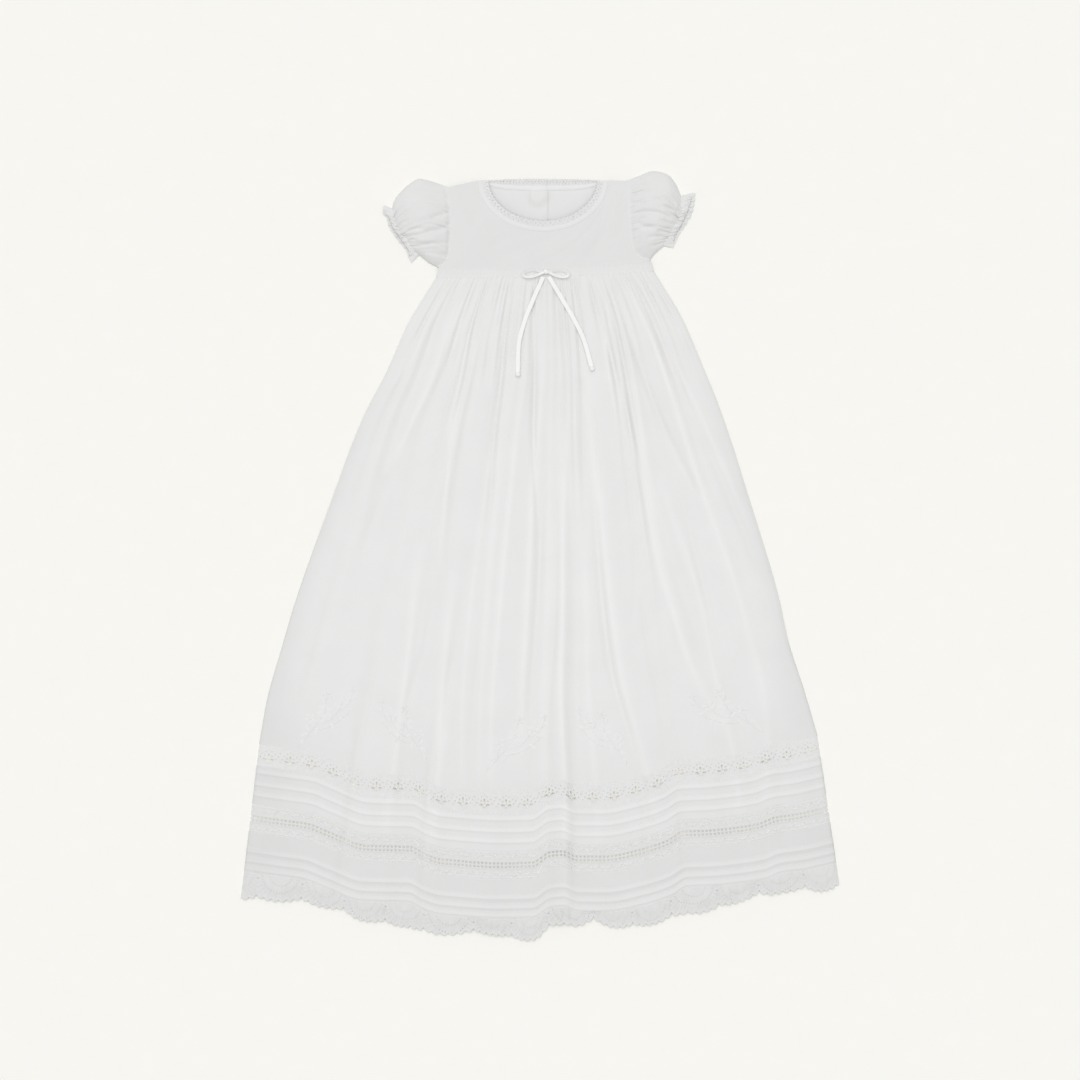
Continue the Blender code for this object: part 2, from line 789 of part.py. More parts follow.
def make_bands_front():
    start, stop = down_from_seam(INSERTION[0] + GAP / 2), down_from_seam(INSERTION[1] - GAP / 2)
    cells = lace_cells(LACE_REPEATS, start, stop, 8)
    wall("insertion_front", cells, skirt_plan, on_skirt(skirt_height), LACE)
    make_tucks("tucks_upper_front", UPPER_TUCKS, TUCK_EDGES_UPPER, even(2 * LACE_REPEATS))
    ends = down_from_seam(np.array([BEADING[0] + GAP / 2, BEADING[1] - GAP / 2]))
    rows = [(t, band_columns(t), 0.0) for t in ends]
    wall("beading_front", cloth_rows(rows), skirt_plan, on_skirt(skirt_height), LACE)
    lower_start = down_from_seam(LOWER_TUCKS[0] + GAP / 2)
    make_tucks("tucks_lower_front", LOWER_TUCKS, TUCK_EDGES_LOWER, band_columns(lower_start))
    shares, drop = scallop_edge(0.0, 2 * PETALS)
    start, middle = down_from_seam(EDGING_TOP + GAP / 2), down_from_seam(EDGING_TOP + EDGING_PLAIN)
    rows = [(start, band_columns(start), 0.0), (middle, band_columns(middle), 0.0)]
    rows.append((down_from_seam(drop), shares, 0.0))
    wall("hem_lace_front", cloth_rows(rows), skirt_plan, on_skirt(skirt_height), LACE)


def make_skirt_back():
    top, end = GAP / 2 / SKIRT_UPPER, down_from_seam(-GAP / 2)
    rows = [(t, even(BACK_COLUMNS), 0.0) for t in (top, *BACK_ROWS)]
    rows.append((end, even(LACE_REPEATS), 0.0))
    wall("skirt_back", cloth_rows(rows), skirt_plan, flat_on_floor, BATISTE)
    start, stop = down_from_seam(INSERTION[0] + GAP / 2), down_from_seam(INSERTION[1] - GAP / 2)
    wall("insertion_back", lace_cells(LACE_REPEATS, start, stop, 4), skirt_plan, flat_on_floor, LACE)
    for name, band, material in (
        ("tucks_upper_back", UPPER_TUCKS, BATISTE),
        ("beading_back", BEADING, LACE),
        ("tucks_lower_back", (LOWER_TUCKS[0], LOWER_TUCKS[1] - BACK_SHORTER), BATISTE),
    ):
        levels = down_from_seam(band[0] + GAP / 2), down_from_seam(band[1] - GAP / 2)
        rows = [(t, even(LACE_REPEATS), 0.0) for t in levels]
        wall(name, cloth_rows(rows), skirt_plan, flat_on_floor, material)
    shares, drop = scallop_edge(BACK_SHORTER, PETALS)
    rows = [(down_from_seam(EDGING_TOP - BACK_SHORTER + GAP / 2), even(LACE_REPEATS), 0.0)]
    rows.append((down_from_seam(drop), shares, 0.0))
    wall("hem_lace_back", cloth_rows(rows), skirt_plan, flat_on_floor, LACE)


def neck_line(depth, inset, linear):
    """Top line of the bodice: shoulder, neck curve, shoulder. inset moves the neck curve into the opening."""
    left = np.array([LEFT_ARMHOLE["x"][0], LEFT_ARMHOLE["y"][0]])
    right = np.array([RIGHT_ARMHOLE["x"][0], RIGHT_ARMHOLE["y"][0]])

    def at(u):
        u = np.asarray(u, float)
        q = np.clip((u - NECK_STARTS) / (NECK_ENDS - NECK_STARTS), 0, 1)
        half = NECK_HALF - inset
        if linear:
            x = NECK_X + half * (2 * q - 1)
            y = NECK_Y - depth * (1 - (2 * q - 1) ** 4)
        else:
            x = NECK_X - half * np.cos(np.pi * q)
            y = NECK_Y - depth * np.sin(np.pi * q)
        a = np.clip(u / NECK_STARTS, 0, 1)
        b = np.clip((u - NECK_ENDS) / (1 - NECK_ENDS), 0, 1)
        x = x + (1 - a) * (left[0] - NECK_X + half) + b * (right[0] - NECK_X - half)
        y = y + (1 - a) * (left[1] - NECK_Y) + b * (right[1] - NECK_Y)
        return np.array([x, y])

    return at


def bodice_bottom(u):
    """Seam between the bodice and the waistband, from underarm to underarm."""
    left, right = LEFT_ARMHOLE, RIGHT_ARMHOLE
    u = np.asarray(u, float)
    x = left["x"][-1] * (1 - u) + right["x"][-1] * u
    y = left["y"][-1] * (1 - u) + right["y"][-1] * u - WAIST_SAG * 4 * u * (1 - u)
    return np.array([x, y])


def bodice_patch(depth, linear):
    """Plan of one bodice panel, under the neck curve of the given depth."""
    sides = line_of(LEFT_ARMHOLE, "down"), line_of(RIGHT_ARMHOLE, "down")
    return patch(neck_line(depth, 0.0, linear), bodice_bottom, *sides, reach=(NECK_STARTS, 1 - NECK_ENDS))


def waistband_patch():
    """Plan of the waistband, between the bodice and the skirt."""

    def top(u):
        return bodice_bottom(u) - np.array([0.0, GAP]).reshape(2, *[1] * np.ndim(u))

    def low(u):
        u = np.asarray(u, float)
        return np.array([WAIST_LEFT[0] + u * (WAIST_RIGHT[0] - WAIST_LEFT[0]), waist_y(u) + GAP])

    return patch(top, low, straight(top(0.0), low(0.0)), straight(top(1.0), low(1.0)))


def neck_share(q):
    """Share across the bodice at a share of the neck curve."""
    return NECK_STARTS + (NECK_ENDS - NECK_STARTS) * q


def share_at(x):
    """Share across the bodice's lower edge at a place x."""
    left, right = LEFT_ARMHOLE["x"][-1], RIGHT_ARMHOLE["x"][-1]
    return (x - left) / (right - left)


def lap_shares(side):
    """Shares across one back half. The two halves have the same ones where they lap."""
    lap = [LAP_LEFT, BUTTON_X - BUTTON_FLAT, BUTTON_X + BUTTON_FLAT, LAP_RIGHT]
    if side == "left":
        near = [LAP_LEFT - LAP_SLOPE, BUTTON_X - BUTTON_SLOPE, LAP_LEFT - FACING] + lap
        corner = [0.0, SHOULDER_MIDDLES[0]] + [neck_share(q) for q in NECK_CORNER]
        return np.array(corner + [share_at(x) for x in near])
    near = lap + [BUTTON_X + BUTTON_SLOPE, BUTTON_X + BUTTON_SLOPE + LAP_SLOPE]
    corner = [neck_share(1 - q) for q in reversed(NECK_CORNER)] + [SHOULDER_MIDDLES[1], 1.0]
    return np.array([share_at(x) for x in near] + corner)


def faced(shares):
    """The left half's edge is turned in and sewn down as a facing, one more cloth thick."""
    inside = (shares > share_at(LAP_LEFT) - 1e-9) & (shares < share_at(LAP_RIGHT) + 1e-9)
    return FACING * inside * (shares[0] == 0)


def on_plan(height):
    """Underside given by place in plan."""
    return lambda u, t, x, y: height(x, y)


def back_rows(plan, shares):
    """Rows down the back bodice, close together over the buttons and round the underarm."""
    top, low = plan(share_at(BUTTON_X), np.array([0.0, 1.0]))[1]
    levels = [0.0, *UNDERARM_ROWS, 1.0]
    for button_y in BUTTON_YS[:2]:
        for away in (BUTTON_SLOPE, BUTTON_FLAT, -BUTTON_FLAT, -BUTTON_SLOPE):
            if button_y + away < top - 1:
                levels.append((top - button_y - away) / (top - low))
    return [(v, shares, faced(shares)) for v in sorted(levels)]


BACK_HALVES = (("left", lapped), ("right", back_lift))


def make_bodice():
    front = bodice_patch(FRONT_NECK_DEPTH, False)
    left, right = SHOULDER_MIDDLES
    shares = np.array([0.0, left, *neck_share(even(NECK_COLUMNS)), right, 1.0])
    rows = [(v, shares, 0.0) for v in (0.0, *ARMHOLE_ROWS, *UNDERARM_ROWS, 1.0)]
    wall("bodice_front", cloth_rows(rows), front, on_plan(bodice_height), BATISTE)
    back = bodice_patch(BACK_NECK_DEPTH, True)
    for side, height in BACK_HALVES:
        rows = back_rows(back, lap_shares(side))
        wall("bodice_back_" + side, cloth_rows(rows), back, on_plan(height), BATISTE)
    band = waistband_patch()
    rows = [(v, even(NECK_COLUMNS), 0.0) for v in (0.0, 1.0)]
    wall("waistband_front", cloth_rows(rows), band, on_plan(bodice_height), BATISTE)
    for side, height in BACK_HALVES:
        shares = lap_shares(side)
        rows = [(v, shares, faced(shares)) for v in (0.0, 1.0)]
        wall("waistband_back_" + side, cloth_rows(rows), band, on_plan(height), BATISTE)


def neck_strip(depth, linear, outset, inset, rise=0.0):
    """Strip round the neck: v runs from outset to inset, both measured in from the bodice's neck line."""

    def plan(q, v):
        share = neck_share(np.asarray(q, float))
        outer = neck_line(depth - outset * (1 + rise), outset, linear)(share)
        inner = neck_line(depth - inset * (1 + rise), inset, linear)(share)
        return outer * (1 - v) + inner * v

    return plan


def neck_gathers(q, v, x, y):
    """The lace at the front neck is gathered: its free edge stands in small waves."""
    return bodice_height(x, y) + NECK_LACE_WAVE * v * (1 - np.cos(2 * np.pi * NECK_LACE_WAVES * q))


def make_neck():
    seam, lace_edge = even(NECK_COLUMNS), even(2 * NECK_LACE_WAVES)
    plan = neck_strip(FRONT_NECK_DEPTH, False, GAP, BINDING)
    rows = [(0, seam, 0), (1, seam, 0)]
    wall("neck_binding_front", cloth_rows(rows), plan, on_plan(bodice_height), BATISTE)
    plan = neck_strip(FRONT_NECK_DEPTH, False, BINDING + GAP, BINDING + NECK_LACE)
    wall("neck_lace_front", cloth_rows([(0, seam, 0), (1, lace_edge, 0)]), plan, neck_gathers, LACE)
    for kind, outset, inset, material in (
        ("binding", GAP, BINDING, BATISTE),
        ("lace", BINDING + GAP, BINDING + NECK_LACE, LACE),
    ):
        plan = neck_strip(BACK_NECK_DEPTH, True, outset, inset, BACK_NECK_RISE)
        for side, height in BACK_HALVES:
            q = (lap_shares(side) - NECK_STARTS) / (NECK_ENDS - NECK_STARTS)
            q = q[(q > -1e-6) & (q < 1 + 1e-6)]
            rows = [(0, q, 0), (1, q, 0)]
            wall(f"neck_{kind}_back_{side}", cloth_rows(rows), plan, on_plan(height), material)


def sleeve_ring(height, thick, waves, wave):
    """Outer and inner rings of a sleeve, which run over its domed top and back beneath it."""
    top = even(2 * waves)
    arch = np.abs(np.sin(np.pi * top))
    ripple = wave / 2 * np.where(np.arange(len(top)) % 2 == 0, -1.0, 1.0) * np.sqrt(arch)
    outer_top = np.maximum(height * arch**SLEEVE_ROUND + ripple, SLEEVE_EDGE)
    outer = np.concatenate([np.c_[top, outer_top], np.c_[SLEEVE_REST, 0 * SLEEVE_REST]])
    inner_top = np.maximum(outer_top - thick, SLEEVE_EDGE - thick / 3)
    inner_q = SLEEVE_INSET + (1 - 2 * SLEEVE_INSET) * outer[:, 0]
    inner_z = np.concatenate([inner_top, thick + 0 * SLEEVE_REST])
    return outer, np.c_[inner_q, inner_z]


def make_sleeve(name, armhole, cuff, top, low):
    rings = []
    for s in SLEEVE_STATIONS:
        height = smooth(PUFF["along"], PUFF["height"], s)
        wave = GATHERED_ARMHOLE * (1 - s) ** GATHERS_FADE + GATHERED_CUFF * s**GATHERS_FADE
        rings.append((s, *sleeve_ring(height, CLOTH, SLEEVE_GATHERS, wave)))
    tube(name, patch(top, low, armhole, cuff), rings, BATISTE)


def make_frill(name, cuff, edge):
    sides = straight(cuff(0.0), edge(0.0)), straight(cuff(1.0), edge(1.0))
    rings = []
    for s in FRILL_STATIONS:
        height = PUFF["height"][-1] + FRILL_FLARE * s
        wave = FRILL_GATHER + (FRILL_WAVE - FRILL_GATHER) * s
        rings.append((s, *sleeve_ring(height, FRILL_CLOTH, FRILL_WAVES, wave)))
    tube(name, patch(*sides, cuff, edge), rings, LACE)


def make_sleeves():
    for side, out, armhole, cuff, top, low, edge in (
        ("left", -1, LEFT_ARMHOLE, LEFT_CUFF, LEFT_SLEEVE_TOP, LEFT_SLEEVE_LOW, LEFT_FRILL_EDGE),
        ("right", 1, RIGHT_ARMHOLE, RIGHT_CUFF, RIGHT_SLEEVE_TOP, RIGHT_SLEEVE_LOW, RIGHT_FRILL_EDGE),
    ):
        from_bodice = (ARMHOLE_GAP * out, ARMHOLE_GAP_UP)
        from_cuff = (ARMHOLE_GAP * out, -ARMHOLE_GAP_UP)
        make_sleeve(
            "sleeve_" + side,
            line_of(armhole, "down", from_bodice),
            line_of(cuff, "down"),
            line_of(top, "along"),
            line_of(low, "along"),
        )
        make_frill("cuff_frill_" + side, line_of(cuff, "down", from_cuff), line_of(edge, "down"))


def make_buttons():
    for number, y in enumerate(BUTTON_YS, 1):
        mesh = bpy.data.meshes.new(f"button_{number}")
        bm = bmesh.new()
        size = {"radius1": BUTTON_RADIUS * MM, "radius2": BUTTON_FACE * MM, "depth": BUTTON_THICK * MM}
        bmesh.ops.create_cone(bm, cap_ends=True, segments=BUTTON_SIDES, **size)
        bm.to_mesh(mesh)
        bm.free()
        add_piece(mesh, PEARL, (BUTTON_X, y, BUTTON_THICK / 2))


def make_knot(name, place, stretch):
    mesh = bpy.data.meshes.new(name)
    bm = bmesh.new()
    bmesh.ops.create_uvsphere(bm, u_segments=10, v_segments=6, radius=KNOT_RADIUS * MM)
    bmesh.ops.scale(bm, vec=(stretch, 1.0, KNOT_FLAT), verts=bm.verts)
    bm.to_mesh(mesh)
    bm.free()
    add_piece(mesh, SATIN, place)


def tail_path(rows):
    """A tail lies across the gathers, so its height is that of the highest cloth beneath its width."""
    share = np.linspace(0, 1, len(rows["across"]))
    along = np.linspace(0, 1, TAIL_POINTS)
    u = smooth(share, rows["across"], along)
    t = smooth(share, rows["down"], along)
    x, y = skirt_plan(u, t)
    left, right = skirt_width(t)
    aside = RIBBON_WIDE / (right - left)
    beneath = [skirt_height(u + side * aside, t) for side in TAIL_LIES_ON]
    top = np.max(beneath, axis=0) + 2 * GATHER_HEIGHT
    top[1:-1] = np.maximum.reduce([top[1:-1], top[:-2], top[2:]])
    return np.c_[x, y, top + CLOTH + GAP + RIBBON_THICK / 2]


def make_tails():
    for side, rows in (("left", LEFT_TAIL), ("right", RIGHT_TAIL)):
        path = tail_path(rows)
        along = np.gradient(path, axis=0)
        across = np.c_[along[:, 1], -along[:, 0], np.zeros(len(path))]
        ribbon("ribbon_tail_" + side, path, across, SATIN)
        onward = along[-1] / np.linalg.norm(along[-1])
        knot = path[-1] + onward * (KNOT_RADIUS + GAP) + (0, 0, KNOT_RAISED)
        make_knot("ribbon_knot_" + side, knot, 1.0)


def make_bow():
    y = (waist_y(0.5) + bodice_bottom(0.5)[1]) / 2
    top = bodice_height(BOW_X, y) + CLOTH
    make_knot("bow_knot", (BOW_X, y, top + GAP + KNOT_RADIUS), BOW_KNOT_WIDE)
    z = top + GAP + BOW_LOOP_RAISED + RIBBON_WIDE / 2 * math.cos(BOW_TILT) + RIBBON_THICK / 2
    for side, out in (("left", -1), ("right", 1)):
        turn = np.linspace(BOW_LOOP_OPEN, 2 * np.pi - BOW_LOOP_OPEN, BOW_LOOP_POINTS)
        far = (1 - np.cos(turn)) / 2
        half = BOW_LOOP_HALF * np.sin(turn) * np.sqrt(far)
        reach = KNOT_RADIUS * BOW_KNOT_WIDE + RIBBON_THICK + (BOW_LOOP - KNOT_RADIUS) * far
        path = np.c_[BOW_X + out * reach, y + half - BOW_LOOP_DROOP * reach, z + 0 * turn]
        along = np.gradient(path, axis=0)
        outward = np.c_[along[:, 1], -along[:, 0], 0 * turn]
        outward = outward / np.linalg.norm(outward, axis=1)[:, None] * -out
        across = outward * math.sin(BOW_TILT) + (0, 0, math.cos(BOW_TILT))
        ribbon("bow_loop_" + side, path, across, SATIN)


for old in list(bpy.data.objects):
    bpy.data.objects.remove(old)

GOWN = bpy.data.collections.new("christening gown")
bpy.context.scene.collection.children.link(GOWN)
BATISTE = cloth_material("cotton batiste", (0.82, 0.82, 0.81), 0.9)
LACE = cloth_material("cotton lace", (0.78, 0.77, 0.74), 0.9)
SATIN = cloth_material("satin ribbon", (0.86, 0.86, 0.86), 0.35)
PEARL = cloth_material("pearl button", (0.84, 0.82, 0.78), 0.3)

make_skirt_front()
make_bands_front()
make_skirt_back()
make_bodice()
make_neck()
make_sleeves()
make_buttons()
make_tails()
make_bow()
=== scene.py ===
# %% [markdown]
# # A christening gown, laid out flat
# The gown lies on its back on a pale surface: a bodice with puff sleeves, a gathered skirt, and a hem of
# tucks and lace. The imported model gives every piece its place. Here each piece is built again as thin cloth
# on the same seam lines, on a much finer grid, so that gathers, tucks and lace are real shapes.
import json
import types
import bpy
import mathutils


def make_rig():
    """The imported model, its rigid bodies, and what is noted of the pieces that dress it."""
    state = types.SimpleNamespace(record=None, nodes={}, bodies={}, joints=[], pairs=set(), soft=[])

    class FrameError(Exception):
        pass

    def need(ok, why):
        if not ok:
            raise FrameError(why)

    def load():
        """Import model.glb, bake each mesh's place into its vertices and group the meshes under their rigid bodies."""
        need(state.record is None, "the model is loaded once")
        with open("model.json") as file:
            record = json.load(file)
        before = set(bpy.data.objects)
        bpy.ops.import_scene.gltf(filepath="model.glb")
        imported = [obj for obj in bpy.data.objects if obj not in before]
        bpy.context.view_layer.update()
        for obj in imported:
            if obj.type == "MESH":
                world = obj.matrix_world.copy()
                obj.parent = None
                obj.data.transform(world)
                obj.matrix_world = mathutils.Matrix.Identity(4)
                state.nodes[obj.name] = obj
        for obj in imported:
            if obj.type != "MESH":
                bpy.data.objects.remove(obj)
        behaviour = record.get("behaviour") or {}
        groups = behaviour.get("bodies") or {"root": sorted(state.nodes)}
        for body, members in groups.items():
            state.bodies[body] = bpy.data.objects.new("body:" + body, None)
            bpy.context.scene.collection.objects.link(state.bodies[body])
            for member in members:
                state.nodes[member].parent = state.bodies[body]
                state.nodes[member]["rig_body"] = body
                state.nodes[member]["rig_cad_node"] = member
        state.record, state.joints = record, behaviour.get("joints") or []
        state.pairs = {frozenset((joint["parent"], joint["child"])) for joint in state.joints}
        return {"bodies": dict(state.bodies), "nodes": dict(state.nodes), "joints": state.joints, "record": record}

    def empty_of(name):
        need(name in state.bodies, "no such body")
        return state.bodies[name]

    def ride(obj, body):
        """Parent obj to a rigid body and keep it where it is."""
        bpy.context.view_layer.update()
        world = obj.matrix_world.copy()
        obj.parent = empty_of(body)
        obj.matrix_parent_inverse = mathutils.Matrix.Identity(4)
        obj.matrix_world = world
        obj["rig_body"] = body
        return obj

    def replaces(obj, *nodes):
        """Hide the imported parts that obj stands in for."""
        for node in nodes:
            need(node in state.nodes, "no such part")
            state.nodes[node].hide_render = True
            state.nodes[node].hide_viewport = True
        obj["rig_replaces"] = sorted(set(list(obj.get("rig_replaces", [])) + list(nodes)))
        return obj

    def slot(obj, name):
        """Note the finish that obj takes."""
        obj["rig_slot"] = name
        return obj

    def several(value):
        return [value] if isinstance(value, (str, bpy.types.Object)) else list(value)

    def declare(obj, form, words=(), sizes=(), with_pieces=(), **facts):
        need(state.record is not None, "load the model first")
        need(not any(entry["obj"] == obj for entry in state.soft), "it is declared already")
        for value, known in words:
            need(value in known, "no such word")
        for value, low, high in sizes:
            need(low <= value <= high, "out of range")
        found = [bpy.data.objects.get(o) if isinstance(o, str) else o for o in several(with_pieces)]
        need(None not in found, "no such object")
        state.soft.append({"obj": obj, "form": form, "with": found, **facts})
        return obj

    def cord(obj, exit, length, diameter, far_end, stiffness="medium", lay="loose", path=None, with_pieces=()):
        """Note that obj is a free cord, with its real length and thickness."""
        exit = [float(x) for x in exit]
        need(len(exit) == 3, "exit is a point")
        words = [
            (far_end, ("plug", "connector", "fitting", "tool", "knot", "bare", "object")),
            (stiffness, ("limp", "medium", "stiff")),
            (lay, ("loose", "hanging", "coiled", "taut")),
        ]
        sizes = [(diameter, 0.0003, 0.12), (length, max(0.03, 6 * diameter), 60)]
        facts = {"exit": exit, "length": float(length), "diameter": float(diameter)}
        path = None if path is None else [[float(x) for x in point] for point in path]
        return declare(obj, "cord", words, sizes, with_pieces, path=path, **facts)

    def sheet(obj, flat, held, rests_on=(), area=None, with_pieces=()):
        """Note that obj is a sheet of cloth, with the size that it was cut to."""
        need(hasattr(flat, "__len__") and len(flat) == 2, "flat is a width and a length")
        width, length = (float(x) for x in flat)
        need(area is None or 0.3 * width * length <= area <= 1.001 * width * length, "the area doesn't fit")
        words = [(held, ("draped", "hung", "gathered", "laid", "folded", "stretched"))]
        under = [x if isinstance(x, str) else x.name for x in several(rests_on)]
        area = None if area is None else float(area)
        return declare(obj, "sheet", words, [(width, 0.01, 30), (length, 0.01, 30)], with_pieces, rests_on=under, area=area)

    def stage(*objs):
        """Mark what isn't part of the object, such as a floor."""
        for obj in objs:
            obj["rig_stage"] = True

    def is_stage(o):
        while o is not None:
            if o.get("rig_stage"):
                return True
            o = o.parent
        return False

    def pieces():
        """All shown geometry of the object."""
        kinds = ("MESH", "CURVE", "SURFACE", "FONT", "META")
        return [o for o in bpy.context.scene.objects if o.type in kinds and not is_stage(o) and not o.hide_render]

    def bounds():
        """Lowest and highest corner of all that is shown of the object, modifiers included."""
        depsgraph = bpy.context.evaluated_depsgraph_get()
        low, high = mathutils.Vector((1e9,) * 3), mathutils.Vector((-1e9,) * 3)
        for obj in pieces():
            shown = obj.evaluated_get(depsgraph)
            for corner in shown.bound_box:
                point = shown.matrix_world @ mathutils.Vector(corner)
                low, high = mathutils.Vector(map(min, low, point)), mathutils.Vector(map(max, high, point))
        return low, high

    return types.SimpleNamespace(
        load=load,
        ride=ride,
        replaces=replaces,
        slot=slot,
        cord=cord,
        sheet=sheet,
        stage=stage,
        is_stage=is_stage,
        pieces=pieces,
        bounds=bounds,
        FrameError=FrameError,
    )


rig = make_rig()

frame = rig.load()
CAD_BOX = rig.bounds()
print("solids:", len(frame["nodes"]), "box:", [list(map(float, corner)) for corner in CAD_BOX])

# %% Tools
import json
import math

import bpy
import numpy as np
from mathutils import Vector

# The pattern is drawn in millimetres from a point of its own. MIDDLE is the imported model's origin in it.
MM = 0.001
MIDDLE = np.array([0.5135, -0.3318, 0.0])
TURN = 2 * np.pi
STAGE = bpy.context.scene.collection

# %% [markdown]
# ## The camera
# A catalogue picture of flat clothes is taken from straight above with a long lens, so that nothing leans
# outwards. Four metres up, a lens of about 114 mm takes in 1.26 m of floor.

# %% Camera above the gown
FRAME_WIDE, CAMERA_HIGH, SENSOR = 1.2636, 4.0, 36.0
CAMERA_OVER = -0.0005, 0.0214
lens = bpy.data.cameras.new("camera above")
lens.sensor_width = SENSOR
lens.lens = SENSOR * CAMERA_HIGH / FRAME_WIDE
lens.clip_end = 50.0
camera = bpy.data.objects.new("camera above", lens)
camera.location = (*CAMERA_OVER, CAMERA_HIGH)
STAGE.objects.link(camera)
bpy.context.scene.camera = camera
print("lens", round(lens.lens, 1), "mm")

# %% [markdown]
# ## Curves through short tables
# A pattern cutter marks a few points and joins them with a smooth curve. `smooth` does that: between two
# marks it is a cubic, and its slopes are chosen so that it never swings past a mark.


# %% Smooth curves and tables
def table(names, *rows):
    """A small table whose columns are read by name."""
    return dict(zip(names.split(), np.array(rows, float).T))


def smooth(xs, ys, at):
    """Cubic between each pair of marks, with the harmonic mean of the two slopes at a mark."""
    at = np.clip(at, xs[0], xs[-1])
    step = np.diff(xs)
    slope = np.diff(ys) / step
    same = slope[1:] * slope[:-1] > 0
    total = np.where(same, slope[1:] + slope[:-1], 1.0)
    inner = np.where(same, 2 * slope[1:] * slope[:-1] / total, 0.0)
    turn = np.concatenate([[slope[0]], inner, [slope[-1]]])
    i = np.clip(np.searchsorted(xs, at, side="right") - 1, 0, len(xs) - 2)
    h = step[i]
    q = (at - xs[i]) / h
    start = ys[i] * (1 + 2 * q) + turn[i] * h * q
    end = ys[i + 1] * (3 - 2 * q) - turn[i + 1] * h * (1 - q)
    return start * (1 - q) ** 2 + end * q**2


def read(rows, column, at):
    """A column of a table, at any place along the table's first column."""
    return smooth(next(iter(rows.values())), rows[column], at)


def ease(x):
    """Soft step from 0 to 1: three x squared less two x cubed."""
    x = np.clip(x, 0.0, 1.0)
    return x * x * (3 - 2 * x)


def bell(x):
    """Rounded hump, 1 in its middle: exp of minus x squared."""
    return np.exp(-(x**2))


def matched(*values):
    """The values as arrays of one shape."""
    return np.broadcast_arrays(*(np.asarray(value, float) for value in values))


# %% [markdown]
# ## Cloth between seams
# A piece of cloth is cut along four lines. `patch` fills the space between them: it is ruled from the top
# line to the bottom one, and the bend of each side line is added and fades inwards.


# %% Seam lines and patches
def line_of(rows):
    """Seam line through a table of points, as a function of the share along it."""
    return lambda share: np.array([read(rows, "x", share), read(rows, "y", share)])


def straight(start, end):
    """Straight seam line between two points."""
    return lambda share: np.multiply.outer(start, 1 - np.asarray(share)) + np.multiply.outer(end, share)


def patch(top, bottom, left, right, reach=(1.0, 1.0)):
    """Cloth between four seam lines, u to the right and v down. The bend of each side line fades over its
    own reach, a share of the width."""

    def plan(u, v):
        u, v = matched(u, v)
        ruled = (1 - v) * top(u) + v * bottom(u)
        for line, corner, away in ((left, 0.0, u / reach[0]), (right, 1.0, (1 - u) / reach[1])):
            start, end = [k.reshape(2, *[1] * u.ndim) for k in (top(corner), bottom(corner))]
            ruled = ruled + np.maximum(1 - away, 0) * (line(v) - (1 - v) * start - v * end)
        return ruled

    return plan


# %% [markdown]
# ## The skirt's pattern
# The skirt is a fan: narrow at the waist seam, where t is 0, and wide at the lace insertion, where t is 1.
# Below that the hem bands run straight down. u is the share across. The seam above the insertion steps up
# and down, because the soft folds of the skirt shift it.

# %% Seams of the skirt
CLOTH = 1.4
GAP = 0.3
FRONT_REST = CLOTH + GAP
WAIST_LEFT, WAIST_RIGHT, WAIST_SAG = (-121.7, 327.6), (133.4, 335.2), 3.0
SKIRT_UPPER = 560.0
LEFT_FLARE, RIGHT_FLARE = -0.119, 0.148
SKIRT_EDGES = table(
    "down left_x right_x",
    (0, -121.7, 133.4), (0.05, -138.9, 150.3), (0.1, -154.7, 166.1), (0.2, -179, 189.5), (0.3, -207, 211.3),
    (0.5, -248.5, 246.5), (0.7, -287, 279), (0.8, -303, 291), (0.9, -318.5, 308.5), (1, -328.4, 324.4),
)
HEM_LINE = table(
    "across y",
    (0, -217.6), (0.06, -223.2), (0.1, -227), (0.137, -236.9), (0.2, -252.2), (0.277, -253.8),
    (0.303, -262.7), (0.331, -268.3), (0.444, -272.8), (0.488, -272), (0.519, -259.6), (0.54, -258.2),
    (0.566, -264.8), (0.611, -265), (0.676, -256.8), (0.722, -246.3), (0.749, -236.2), (0.795, -234.4),
    (0.877, -227.4), (0.907, -219.6), (0.946, -215.9), (1, -207.7),
)


def sagging(left, right, u):
    """Height of a seam between two ends, lowest in its middle."""
    return left * (1 - u) + right * u - WAIST_SAG * 4 * u * (1 - u)


def waist_y(u):
    """The waist seam climbs to the right and sags in its middle."""
    return sagging(WAIST_LEFT[1], WAIST_RIGHT[1], u)


def hem_y(u):
    """The seam above the insertion."""
    return read(HEM_LINE, "y", u)


def skirt_width(t):
    """Left and right edges of the skirt at t."""
    upper, below = np.minimum(t, 1.0), np.maximum(t - 1.0, 0.0) * SKIRT_UPPER
    left = read(SKIRT_EDGES, "left_x", upper) + LEFT_FLARE * below
    return left, read(SKIRT_EDGES, "right_x", upper) + RIGHT_FLARE * below


def wide_and_edge(u, t):
    """Width of the skirt at t, and how far u is from the nearer side seam, in millimetres."""
    left, right = skirt_width(t)
    return right - left, np.minimum(u, 1 - u) * (right - left)


def skirt_plan(u, t):
    """Plan point at share u across and t down."""
    u, t = matched(u, t)
    left, right = skirt_width(t)
    upper, below = np.minimum(t, 1.0), np.maximum(t - 1.0, 0.0) * SKIRT_UPPER
    return np.array([left + u * (right - left), waist_y(u) * (1 - upper) + hem_y(u) * upper - below])


def down_from_seam(mm):
    """t of a line that lies so many millimetres below the insertion seam."""
    return 1.0 + np.asarray(mm, float) / SKIRT_UPPER


def skirt_share(x, y):
    """u and t of a plan point of the skirt: each is solved from the other, twelve times over."""
    t = np.full_like(x, 0.8)
    for _ in range(12):
        left, right = skirt_width(t)
        u = (x - left) / (right - left)
        t = (waist_y(u) - y) / (waist_y(u) - hem_y(u))
    return u, t


print("skirt at the insertion:", round(float(np.ptp(skirt_width(1.0))), 1), "mm wide")

